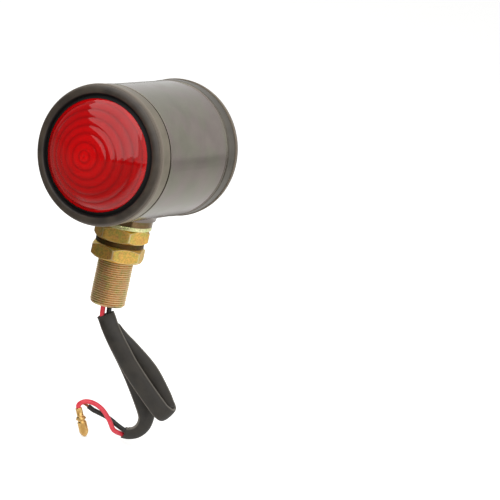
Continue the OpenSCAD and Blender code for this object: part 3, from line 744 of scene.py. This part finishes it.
# %% Turn and crimp the bullet terminal
PINCH_LOW, PINCH_HIGH, PINCH_DEPTH = 0.9, 2.6, 0.35
CRIMP_CORE_R = 1.2
crimp = [(0.95, -0.6), (1.42, -0.6), (1.55, -0.4), (1.5, 0), (1.5, 1), (1.5, 1.8), (1.5, 2.6), (1.5, 3.3)]
collar = [(2.1, 3.75)] + arc((2.1, 4.5), 0.25, -60, 60, 6) + [(1.7, 5.05), (1.62, 5.35), (1.7, 5.65)]
plug = [(2.02, 5.95), (2.1, 6.2), (2.1, 10.4), (1.95, 11), (1.5, 11.8), (0.9, 12.5), (0.4, 12.85),
        (0, 12.9)]
socket = [(0, 1.2), (0.95, 1.2)]
bullet = turned(crimp + collar + plug + socket, 48)
for vertex in bullet.verts:
    height = vertex.co.z / MM
    if PINCH_LOW < height < PINCH_HIGH and vertex.co.xy.length > CRIMP_CORE_R * MM:
        vertex.co.y *= 1 - PINCH_DEPTH
tip_frame = (from_cord_plane @ Matrix.Translation(TERMINAL_AT * MM)
             @ Matrix.Rotation(math.pi - TERMINAL_TILT, 4, "Y"))
bmesh.ops.transform(bullet, matrix=tip_frame, verts=bullet.verts)
terminal = add_piece("brass_bullet", bullet, drawn_brass, "stem", ["bullet_terminal"])

# %% Twist the bare strands
STRAND_R, STRAND_L, STRAND_ROOT = 0.2, 2.5, 0.6
STRAND_SPREAD, STRAND_TWIST, STRAND_FLARE = 0.4, 1.6, 0.35
STRAND_STEPS = 8
OUTER_STRANDS = 6


def strand(angle, spread):
    """One copper strand on a slow helix round the bundle's middle."""
    points = []
    for i in range(STRAND_STEPS + 1):
        t = i / STRAND_STEPS
        a = angle + STRAND_TWIST * t
        reach = spread * (1 + STRAND_FLARE * t ** 2)
        height = -STRAND_ROOT + (STRAND_L + STRAND_ROOT) * t
        points.append(Vector((reach * math.cos(a), reach * math.sin(a), height)))
    return swept(circle(STRAND_R, 8), frames_along(points))


bundle = strand(0, 0)
for k in range(OUTER_STRANDS):
    one = bpy.data.meshes.new("strand")
    made = strand(math.tau * k / OUTER_STRANDS, STRAND_SPREAD)
    made.to_mesh(one)
    made.free()
    bundle.from_mesh(one)
    bpy.data.meshes.remove(one)
strands_frame = (from_cord_plane @ Matrix.Translation(STRANDS_AT * MM)
                 @ Matrix.Rotation(-STRANDS_TILT, 4, "Y"))
bmesh.ops.transform(bundle, matrix=strands_frame, verts=bundle.verts)
strands = add_piece("copper_strands", bundle, bare_copper, "stem", ["bare_strands"])

# %% [markdown]
# ## Rubber rings
# Each ring is a moulded section bent into a circle. Outside is a fat rounded bead with two shallow
# grooves near its back. Inside, the bead drops into a trench, painted black as painted shade, whose
# thin lip lies on the lens.
# Behind, a plug pushes into the bezel. One outline of arcs and corners is turned about the axis.

# %% Outline of a rubber ring
RING_ROUND = 3.2
BEAD_STEPS = 60
BEAD_GROOVES = (8, 33)
GROOVE_WIDTH, GROOVE_DEPTH = 4, 0.22
TRENCH_ROUND = 1.4
LENS_R = 31.92
SEAT_R, SEAT_LIP_R, SEAT_FRONT, SEAT_BACK = 26.9, 26.1, 35.15, 33.65
PLUG_R, PLUG_CHAMFER = 27.85, 0.4
RING_PLAY = 0.05
ring_r = high("clear_rim", X)
ring_back = high("clear_bezel", Y) + RING_PLAY
ring_round_at = (ring_r - RING_ROUND, high("clear_rim", Y) - RING_ROUND)
plug_low = low("clear_rim", Y)
dome_top = high("clear_lens", Y)


def groove(angle):
    """How deep the bead's two shallow grooves are at this angle round its section."""
    return GROOVE_DEPTH * sum(math.exp(-((angle - g) / GROOVE_WIDTH) ** 2) for g in BEAD_GROOVES)


def over_lens(radius, gap):
    """A point this far above the lens's outer face."""
    return (radius, dome_top - LENS_R + math.sqrt(LENS_R ** 2 - radius ** 2) + gap)


def ring_outline():
    points = []
    start = math.degrees(math.asin((ring_back - ring_round_at[1]) / RING_ROUND))
    for i in range(BEAD_STEPS + 1):
        angle = start + (90 - start) * i / BEAD_STEPS
        radius = RING_ROUND - groove(angle)
        a = math.radians(angle)
        points.append((ring_round_at[0] + radius * math.cos(a), ring_round_at[1] + radius * math.sin(a)))
    points += arc((ring_round_at[0], high("clear_rim", Y) - TRENCH_ROUND), TRENCH_ROUND, 85, 175, 10)
    points += [over_lens(26.12, 0.65), over_lens(25.9, 0.42), over_lens(25.5, 0.3), over_lens(25, 0.28)]
    points += [over_lens(24.62, 0.24), over_lens(24.5, 0.14), over_lens(24.6, 0.06), over_lens(25.6, 0.06)]
    points += [(26, SEAT_FRONT), (SEAT_R, SEAT_FRONT), (SEAT_R, SEAT_BACK), (SEAT_LIP_R, SEAT_BACK)]
    points += [(SEAT_LIP_R, plug_low), (27.6, plug_low), (PLUG_R, plug_low + PLUG_CHAMFER)]
    return points + [(PLUG_R, ring_back)]


print(f"a ring's section has {len(ring_outline())} points and is {ring_r:.2f} mm from the axis")

# %% Turn the rubber rings
RING_STEPS = 144
DUST_AND_SHEEN_REACH = 2.6
TRENCH_SHADE_START, TRENCH_SHADE_FADE = 0.6, 0.5


def mark_ring(ring):
    """Writes where the outer side is paler, partly dust and partly painted sheen, and the painted shade
    deep in the trench beside the lens.
    """
    dust_and_sheen = ring.data.attributes.new("dust_and_sheen", "FLOAT", "POINT")
    trench_shade = ring.data.attributes.new("trench_shade", "FLOAT", "POINT")
    for i, vertex in enumerate(ring.data.vertices):
        out = abs(vertex.co.y) / MM
        reach = math.hypot(vertex.co.x, vertex.co.z - axis_z * MM) / MM
        # Paler on the outer side near the crown: partly dust, partly painted sheen.
        dust_and_sheen_share = (ring_round_at[1] + DUST_AND_SHEEN_REACH - out) / DUST_AND_SHEEN_REACH if reach > ring_round_at[0] else 0
        dust_and_sheen.data[i].value = min(max(dust_and_sheen_share, 0), 1)
        # Painted shade, darkest deep in the trench beside the lens.
        depth = (ring_round_at[0] - TRENCH_SHADE_START - reach) / TRENCH_SHADE_FADE
        trench_shade.data[i].value = min(max(depth, 0), 1)


for name, side in SIDES.items():
    turned_ring = on_lamp_axis(turned(ring_outline(), RING_STEPS), side)
    ring = add_piece(f"{name}_rubber_ring", turned_ring, rubber, f"{name}_front", [f"{name}_rim"])
    mark_ring(ring)

# %% [markdown]
# ## Lenses
# A lens is a domed shell. Outside it is nearly smooth, with one step near its edge and ripples too
# low to feel. Inside, concentric ribs bend the bulb's light: each band between two circles is a
# shallow hollow, and the bands meet in crests. Both faces are one outline, turned about the axis.

# %% Outline of a lens
DOME_FOOT_R = 26
LENS_WALL = 2.2
RIB_RADII = [0, 2.6, 6, 9.9, 13.3, 16.6, 20, 23.1]
RIB_DEPTH = 0.85
RIPPLE = 0.16
EDGE_STEP = 0.16
DOME_STEPS = 132
FLANGE_T, FLANGE_CHAMFER = 1.3, 0.2
lens_back = low("clear_lens", Y)
flange_r = high("clear_lens", X)
dome_foot = lens_back + FLANGE_T
dome_h = dome_top - dome_foot
dome_r = (DOME_FOOT_R ** 2 + dome_h ** 2) / (2 * dome_h)
dome_centre = dome_top - dome_r


def rib(r):
    """How far a rib stands at this radius: one at a crest, nothing in the middle of a band."""
    for a, b in zip(RIB_RADII, RIB_RADII[1:]):
        if a <= r <= b:
            t = 2 * (r - a) / (b - a) - 1
            return t * t
    return 0


def lens_outline():
    points = []
    for i in range(DOME_STEPS + 1):
        r = DOME_FOOT_R * i / DOME_STEPS
        lift = -RIPPLE * rib(r) - EDGE_STEP * (r > RIB_RADII[-1])
        points.append((r, dome_centre + math.sqrt(dome_r ** 2 - r * r) + lift))
    points += [(flange_r - FLANGE_CHAMFER, dome_foot), (flange_r, dome_foot - FLANGE_CHAMFER),
               (flange_r, lens_back)]
    inner_r = dome_r - LENS_WALL
    inner_foot = math.sqrt(inner_r ** 2 - (lens_back - dome_centre) ** 2)
    for i in range(DOME_STEPS + 1):
        r = inner_foot * (1 - i / DOME_STEPS)
        points.append((r, dome_centre + math.sqrt(inner_r ** 2 - r * r) - RIB_DEPTH * rib(r)))
    return points


print(f"the dome is {dome_h:.1f} mm high on a {dome_r:.1f} mm radius")

# %% Turn the lenses
LENS_STEPS = 160
BRIGHT_R = 18
EDGE_GLOW_R, EDGE_GLOW_W = 24.5, 2.5


def mark_lens(dome):
    """Writes where the ribs crest, for painted crest shading, and how far a point is from the painted glow
    in the middle and at the edge.
    """
    crest_shading = dome.data.attributes.new("crest_shading", "FLOAT", "POINT")
    away = dome.data.attributes.new("away", "FLOAT", "POINT")
    for i, vertex in enumerate(dome.data.vertices):
        reach = math.hypot(vertex.co.x, vertex.co.z - axis_z * MM) / MM
        crest_shading.data[i].value = rib(reach)
        away.data[i].value = min(reach / BRIGHT_R, 1, max(0, (EDGE_GLOW_R - reach) / EDGE_GLOW_W))


acrylics = {"red": red_acrylic, "clear": clear_acrylic}
for name, side in SIDES.items():
    turned_dome = on_lamp_axis(turned(lens_outline(), LENS_STEPS, closed=False), side)
    dome = add_piece(f"{name}_lens_dome", turned_dome, acrylics[name], f"{name}_front",
                     [f"{name}_lens"])
    mark_lens(dome)

# %% [markdown]
# ## Barrel, bezels and what holds the head
# The barrel and the rings at its ends are right as measured, so they only get their plate.
# A rolled bead finishes each end of the barrel, and its bright line beside the dark groove is what
# the eye picks out, so the two beads are turned as pieces of their own.

# %% Dress the barrel and roll its beads
BEAD_R, BEAD_INSET = 0.45, 0.2
dress(plate, "barrel")
for name, side in SIDES.items():
    dress(satin_plates[name], f"{name}_bezel")
    bead = turned(arc((barrel_r - BEAD_INSET, barrel_end - BEAD_R), BEAD_R, 0, 345, 23), RING_STEPS)
    add_piece(f"{name}_barrel_bead", on_lamp_axis(bead, side), plate, "head")

# %% [markdown]
# ## The stem
# The stem is a hollow screw with a 1 mm pitch. One V of the thread is spun round the axis while it
# climbs one pitch a turn, so neighbouring turns meet and merge into a true helix. Two flat cuts
# give it its length, its lower end gets a chamfer, and the bore is drawn in from the cut edges.

# %% Spin a thread
PITCH = 1
THREAD_DEPTH = 0.6
CREST_FROM, CREST_TO = 0.42, 0.58
THREAD_STEPS = 48
STEM_BORE = 5
STEM_CHAMFER = 1


def threaded_tube(bottom, top, crest_r, bore_r, chamfer):
    """A hollow screw between two heights."""
    shape = bmesh.new()
    count = int((top - bottom) / PITCH) + 3
    first = bottom - 1.5 * PITCH
    profile = [(crest_r - THREAD_DEPTH, 0), (crest_r - CREST_CUT, CREST_FROM),
               (crest_r - CREST_CUT, CREST_TO), (crest_r - THREAD_DEPTH, PITCH)]
    verts = [shape.verts.new((r * MM, 0, (first + z) * MM)) for r, z in profile]
    edges = [shape.edges.new(pair) for pair in zip(verts, verts[1:])]
    steps = THREAD_STEPS * count
    bmesh.ops.spin(shape, geom=verts + edges, cent=(0, 0, 0), axis=(0, 0, 1), angle=math.tau * count,
                   dvec=(0, 0, PITCH * MM / THREAD_STEPS), steps=steps, use_merge=False,
                   use_duplicate=False)
    bmesh.ops.remove_doubles(shape, verts=shape.verts, dist=0.002 * MM)
    for height, up_side in ((bottom, -1), (top, 1)):
        bmesh.ops.bisect_plane(shape, geom=shape.verts[:] + shape.edges[:] + shape.faces[:],
                               plane_co=(0, 0, height * MM), plane_no=(0, 0, up_side), clear_outer=True)
    for vertex in shape.verts:
        limit = (crest_r - chamfer + vertex.co.z / MM - bottom) * MM
        reach = vertex.co.xy.length
        if reach > limit:
            vertex.co.xy *= limit / reach
    rims = [e for e in shape.edges if e.is_boundary]
    mouths = bmesh.ops.extrude_edge_only(shape, edges=rims)["geom"]
    for vertex in (g for g in mouths if isinstance(g, bmesh.types.BMVert)):
        vertex.co.xy *= bore_r * MM / vertex.co.xy.length
    inner = [g for g in mouths if isinstance(g, bmesh.types.BMEdge) and g.is_boundary]
    bmesh.ops.bridge_loops(shape, edges=inner)
    bmesh.ops.recalc_face_normals(shape, faces=shape.faces)
    return shape


stem_top = high("stem", Z)
thread = threaded_tube(stem_low, stem_top, thread_r, STEM_BORE, STEM_CHAMFER)
add_piece("threaded_stem", thread, thread_zinc, "stem", ["stem"])
dress(bakelite, "stem_bush")

# %% [markdown]
# ## Nuts and washers
# A nut starts as a turned ring, and its outer points move out to a hexagon. The further a point
# moves, the more its height drops, which is how a lathe's chamfer bites the corners and leaves the
# curved edge that a real nut shows. The washers are turned with rounded edges.

# %% Shape the nuts
NUT_BORE = 8.04
NUT_FACE_STEP = 0.4
NUT_CHAMFER = math.tan(math.radians(36))
NUT_BORE_CHAMFER = 0.6
CORNER_ROUND = 0.25
CORNER_WEAR = 0.3
NUT_STEPS, NUT_ROWS = 96, 12


def hexagon_reach(angle, flat_r):
    """Distance to a hexagon's side at this angle, with its corners slightly rounded."""
    turn = (angle + math.pi / 6) % (math.pi / 3) - math.pi / 6
    return min(flat_r / math.cos(turn), flat_r / math.cos(math.pi / 6) - CORNER_ROUND)


def nut(bottom, height, flats, turn):
    """A chamfered hexagon nut, with a corner turned this far from X."""
    flat_r = flats / 2
    face_r = flat_r - NUT_FACE_STEP
    mouth_r = NUT_BORE + NUT_BORE_CHAMFER
    outline = [(NUT_BORE, NUT_BORE_CHAMFER), (mouth_r, 0), (face_r, 0)]
    outline += [(flat_r, height * k / NUT_ROWS) for k in range(NUT_ROWS + 1)]
    outline += [(face_r, height), (mouth_r, height), (NUT_BORE, height - NUT_BORE_CHAMFER)]
    shape = turned(outline, NUT_STEPS)
    corner_r = flat_r / math.cos(math.pi / 6) - CORNER_ROUND
    edge = shape.verts.layers.float.new("edge")
    for vertex in shape.verts:
        if vertex.co.xy.length > (face_r + 0.01) * MM:
            angle = math.atan2(vertex.co.y, vertex.co.x)
            reach = hexagon_reach(angle + math.pi / 6, flat_r)
            drop = (reach - face_r) * NUT_CHAMFER
            share = vertex.co.z / MM / height
            corner = 1 - min(1, (corner_r - reach) / CORNER_WEAR)
            vertex[edge] = max(corner, 1 if share < 0.01 or share > 0.99 else 0)
            vertex.co.z = (drop + (height - 2 * drop) * share) * MM
            vertex.co.xy *= reach * MM / vertex.co.xy.length
    place = Matrix.Translation((0, 0, bottom * MM)) @ Matrix.Rotation(math.radians(turn), 4, "Z")
    bmesh.ops.transform(shape, matrix=place, verts=shape.verts)
    return shape


NUT_FLATS = 22
NUT_TURNS = {"upper_nut": 16, "lower_nut": -12}
for name, turn in NUT_TURNS.items():
    bottom, height = low(name, Z), high(name, Z) - low(name, Z)
    add_piece(f"hex_{name}", nut(bottom, height, NUT_FLATS, turn), yellow_zinc, name, [name])

# %% Turn the washers
WASHER_BORE = 8.08


def washer_outline(bottom, top, radius, edge):
    """A flat ring with rounded edges, on the bore of a washer."""
    return (arc((WASHER_BORE + edge, bottom + edge), edge, 180, 270, 4)
            + arc((radius - edge, bottom + edge), edge, -90, 0, 4)
            + arc((radius - edge, top - edge), edge, 0, 90, 4)
            + arc((WASHER_BORE + edge, top - edge), edge, 90, 180, 4))


flat = washer_outline(low("flat_washer", Z), high("flat_washer", Z), high("flat_washer", X), 0.3)
add_piece("turned_flat_washer", turned(flat), pale_zinc, "flat_washer", ["flat_washer"])

# %% Bend the split washer
SPLIT_W = 2
SPLIT_STEPS = 110


def split_washer(bottom, top, radius):
    """A ring that stops short of a full turn, with flat cut ends."""
    shape = bmesh.new()
    half = math.atan2(SPLIT_W / 2, radius)
    outline = washer_outline(bottom, top, radius, 0.2)
    verts = [shape.verts.new((r * MM, 0, z * MM)) for r, z in outline]
    face = shape.faces.new(verts)
    bmesh.ops.rotate(shape, verts=verts, cent=(0, 0, 0), matrix=Matrix.Rotation(half, 3, "Z"))
    bmesh.ops.spin(shape, geom=[face], cent=(0, 0, 0), axis=(0, 0, 1), dvec=(0, 0, 0),
                   angle=math.tau - 2 * half, steps=SPLIT_STEPS, use_merge=False, use_duplicate=False)
    to_back = Matrix.Rotation(math.pi / 2 + CORD_TURN, 3, "Z")
    bmesh.ops.rotate(shape, verts=shape.verts, cent=(0, 0, 0), matrix=to_back)
    bmesh.ops.recalc_face_normals(shape, faces=shape.faces)
    return shape


lock = split_washer(low("lock_washer", Z), high("lock_washer", Z), high("lock_washer", X))
# Its dark brown is painted shade between the two nuts.
add_piece("split_lock_washer", lock, shaded_zinc, "lock_washer", ["lock_washer"])
# The collar's dark brown is painted shade under the barrel.
dress(shaded_bright_zinc, "saddle_collar")

# %% [markdown]
# ## The bulb
# The bulb is a small round one with a bayonet cap. Its glass is a thin blown shell, turned from
# a globe and neck, without the pip on top of the real bulb. Inside, a glass mount holds two lead
# wires, and a coiled tungsten filament hangs between them. The cap, its pins and its contact are
# right as measured.

# %% Blow the bulb
GLASS_WALL = 0.5
FOOT_WALL, FOOT_ROUND = 0.8, 0.5
NECK_R = 6.9
globe_r = high("bulb_glass", X)
globe_z = high("bulb_glass", Z) - globe_r
neck_z = low("bulb_glass", Z)


def glass_outline(wall):
    """The glass from the middle of its foot to the top, drawn in by a wall."""
    foot = neck_z + (FOOT_WALL if wall else 0)
    meet = math.degrees(math.acos((NECK_R - wall) / (globe_r - wall)))
    return ([(0, foot), (NECK_R - wall - FOOT_ROUND, foot), (NECK_R - wall, foot + FOOT_ROUND)]
            + arc((0, globe_z), globe_r - wall, -meet, 90, 40))


blown = glass_outline(0) + glass_outline(GLASS_WALL)[::-1]
add_piece("blown_globe", turned(blown, 96, closed=False), bulb_glass, "bulb", ["bulb_glass"])

# %% Mount and filament
mount_low, mount_top = low("bulb_mount", Z), high("bulb_mount", Z)
mount_outline = [(0, mount_low), (3.4, mount_low), (3.2, mount_low + 0.5), (1.8, mount_low + 2),
                 (1.4, mount_low + 3.6), (1.5, mount_top - 0.6), (1.1, mount_top), (0, mount_top)]
add_piece("glass_mount", turned(mount_outline, 40, closed=False), bulb_glass, "bulb",
          ["bulb_mount"])
LEAD_X, LEAD_LEAN, LEAD_SUNK, LEAD_BELOW = 1.5, 0.6, 0.5, 1.5
COIL_R, COIL_TURNS, COIL_WIRE_R, COIL_STEPS = 0.38, 9, 0.09, 12


def filament_points():
    """Up one lead, along the coil, and down the other lead."""
    coil = []
    for i in range(COIL_TURNS * COIL_STEPS + 1):
        a = math.tau * i / COIL_STEPS
        x = -LEAD_X + 2 * LEAD_X * i / (COIL_TURNS * COIL_STEPS)
        coil.append(Vector((x, COIL_R * math.sin(a), globe_z - COIL_R + COIL_R * math.cos(a))))
    leads = {}
    for side in (-1, 1):
        root = Vector((side * LEAD_X * LEAD_LEAN, 0, mount_top - LEAD_SUNK))
        leads[side] = [root, Vector((side * LEAD_X, 0, globe_z - LEAD_BELOW))]
    return leads[-1] + coil + leads[1][::-1]


coil = swept(circle(COIL_WIRE_R, 6), frames_along(filament_points()))
add_piece("coiled_filament", coil, tungsten, "bulb", ["bulb_filament"])
dress(drawn_brass, "bulb_cap", "bulb_pins")
dress(bakelite, "bulb_insulator")
dress(strip_steel, "bulb_contact")

# %% [markdown]
# ## The holder and its wiring
# The bayonet holder stands on a bent steel strip that the inner nut clamps to the stem. A coil
# spring pushes the contact up against the bulb. On the real lamp, spring and feed wire get shorter as
# the bulb is pressed; here each only gets a mesh of its own.

# %% Dress the holder
dress(strip_steel, "inner_saddle", "bulb_bracket", "holder_rivets", "earth_screw", "earth_nut")
dress(drawn_brass, "holder_shell", "contact_stud", "earth_tag")
dress(fibre_board, "holder_base", "contact_disc")
dress(yellow_zinc, "inner_nut")

# %% Wind the contact spring
SPRING_R, SPRING_WIRE_R, SPRING_TURNS, SPRING_STEPS = 4.5, 0.35, 3, 24
FLAT_END = 0.12
spring_low, spring_top = low("contact_spring", Z), high("contact_spring", Z)


def spring_points():
    """A coil whose end turns lie flat, from its lower seat to its upper one."""
    steps = SPRING_STEPS * SPRING_TURNS
    rise = spring_top - spring_low - 2 * SPRING_WIRE_R
    points = []
    for i in range(steps + 1):
        t = i / steps
        climb = min(max((t - FLAT_END) / (1 - 2 * FLAT_END), 0), 1)
        a = math.tau * SPRING_TURNS * t
        points.append(Vector((SPRING_R * math.cos(a), SPRING_R * math.sin(a),
                              spring_low + SPRING_WIRE_R + rise * climb)))
    return points


spring = add_piece("contact_coil", swept(circle(SPRING_WIRE_R, 10), frames_along(spring_points())),
                   strip_steel, "stem", ["contact_spring"])
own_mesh(spring)

# %% Run the two inner wires
CORE_STEPS = 6
crimp_x = high("earth_wire", X)
crimp_z = high("earth_wire", Z) - WIRE_R
side_x, side_y = WIRE_GAP * math.cos(CORD_TURN), WIRE_GAP * math.sin(CORD_TURN)
feed_top = high("feed_wire", Z)
feed_route = [(-side_x, -side_y, stem_low), (-side_x, -side_y, stem_low + 5),
              (-side_x, -side_y, stem_top - 6), (-1, -0.5, stem_top - 2), (-0.3, -0.1, crimp_z + 0.3),
              (0, 0, feed_top - 3), (0, 0, feed_top)]
earth_route = [(side_x, side_y, stem_low), (side_x, side_y, stem_low + 5),
               (side_x, side_y, stem_top - 6), (1.9, 0.6, crimp_z - 3.6), (3.2, 0.3, crimp_z - 1),
               (5.4, 0, crimp_z), (crimp_x - 1, 0, crimp_z), (crimp_x, 0, crimp_z)]
inner = {}
for name, points, vinyl, slot in (("feed", feed_route, red_vinyl, "red_wire"),
                                  ("earth", earth_route, black_vinyl, "black_wire")):
    core_frames = frames_along(smoothed([Vector(p) for p in points], CORE_STEPS))
    core = swept(circle(WIRE_R, WIRE_SIDES), core_frames)
    inner[name] = add_piece(f"{name}_core", core, vinyl, "stem", [f"{name}_wire"])
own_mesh(inner["feed"])

# %% [markdown]
# ## Floor and light
# The photograph has a plain white ground and one very large soft window, high up on the camera's
# side, whose reflection lies across the red lens. The rest of the room behind the camera is dim,
# which is what gives the lens its depth. So the world is white where the camera sees it, half as
# bright from every side for matt faces, and dim on the camera's side in reflections. The floor is
# matt paper with its shadow kept, and in reflections it too is darker on the camera's side and left.

# %% Paper for the floor
DIM_FLOOR, LEFT = Vector((-0.35, -0.93, 0)), Vector((-1, 0, 0))
DIM_FROM, DIM_TO = 30, 90
SEEN_GLOW, MIRRORED_GLOW = 0.5, 0.15


def white_paper():
    """Matt white paper that glows a little where it is seen, so that only its shadow is grey."""
    material, tree, shader, where = new_finish("matt_paper", "#f4f4f2", 0.9)
    out = next(n for n in tree.nodes if n.type == "OUTPUT_MATERIAL")
    ray = add(tree, "LightPath")
    aside = reckon(tree, "MAXIMUM", along(tree, where, DIM_FLOOR), along(tree, where, LEFT))
    far = spread(tree, aside, 0, 1, DIM_FROM, DIM_TO)
    dimmed = reckon(tree, "MULTIPLY", far, ray.outputs["Is Glossy Ray"])
    dark = add(tree, "BsdfDiffuse", {"Color": linear("#7a756f")})
    mixed = add(tree, "MixShader", {"Fac": dimmed, 1: shader.outputs["BSDF"], 2: dark.outputs["BSDF"]})
    tree.links.new(mixed.outputs["Shader"], out.inputs["Surface"])
    seen = reckon(tree, "MAXIMUM", ray.outputs["Is Camera Ray"], ray.outputs["Is Transmission Ray"])
    bright = reckon(tree, "MULTIPLY", seen, SEEN_GLOW)
    mirrored = reckon(tree, "MULTIPLY", ray.outputs["Is Glossy Ray"], MIRRORED_GLOW)
    shader.inputs["Emission Color"].default_value = (1, 1, 1, 1)
    tree.links.new(reckon(tree, "MAXIMUM", bright, mirrored), shader.inputs["Emission Strength"])
    return material


paper = white_paper()
print("made", paper.name)

# %% Lay the floor
FLOOR_REACH, FLOOR_GAP = 12, 0.0002
floor_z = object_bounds()[0].z
sheet = bmesh.new()
bmesh.ops.create_grid(sheet, x_segments=1, y_segments=1, size=FLOOR_REACH,
                      matrix=Matrix.Translation((0, 0, floor_z - FLOOR_GAP)))
floor = object_of("studio_floor", sheet, paper)
print(f"floor at {floor_z / MM:.1f} mm")

# %% Light the world
world = bpy.data.worlds.new("studio_world")
bpy.context.scene.world = world
world.use_nodes = True
sky = world.node_tree
sky.nodes.clear()
DIM_SIDE = Vector((-0.6, -0.78, -0.1))
MATT_FILL, BRIGHT_SIDE, DIM_LEVEL = 0.5, 0.95, 0.1
BRIGHT_TO, DIM_AT = -0.25, 0.45


def white_light(strength):
    return add(sky, "Background", {"Color": (1, 1, 1, 1), "Strength": strength}).outputs["Background"]


ray = add(sky, "LightPath")
looking = add(sky, "TexCoord")
towards_dim = along(sky, looking.outputs["Generated"], DIM_SIDE)
room = spread(sky, towards_dim, BRIGHT_SIDE, DIM_LEVEL, BRIGHT_TO, DIM_AT)
lit = add(sky, "MixShader", {"Fac": ray.outputs["Is Glossy Ray"], 1: white_light(MATT_FILL),
                             2: white_light(room)})
clear = reckon(sky, "MAXIMUM", ray.outputs["Is Camera Ray"], ray.outputs["Is Transmission Ray"])
seen = add(sky, "MixShader", {"Fac": clear, 1: lit.outputs["Shader"], 2: white_light(1)})
add(sky, "OutputWorld", {"Surface": seen.outputs["Shader"]})
print(f"world: {MATT_FILL} on matt faces, from {BRIGHT_SIDE} down to {DIM_LEVEL} in reflections")


# %% Hang the window
def soft_lamp(name, direction, distance, width, height, power, spin=0):
    """A broad lamp that faces the lamp's centre, turned about its own line of sight."""
    data = bpy.data.lights.new(name, "AREA")
    data.shape = "RECTANGLE"
    data.size, data.size_y, data.energy = width, height, power
    lamp = bpy.data.objects.new(name, data)
    bpy.context.scene.collection.objects.link(lamp)
    towards = Vector(direction).normalized()
    lamp.location = lamp_centre * MM + towards * distance
    lamp.rotation_mode = "QUATERNION"
    lamp.rotation_quaternion = (towards.to_track_quat("Z", "Y")
                                @ Matrix.Rotation(math.radians(spin), 3, "Z").to_quaternion())
    print(f"{name}: {power} W, {distance} m away")


soft_lamp("window_light", direction=(0.061, -0.585, 0.809), distance=0.7, width=0.91, height=2.18,
          power=9.6, spin=38.2)

bpy.context.scene.view_settings.view_transform = "Standard"
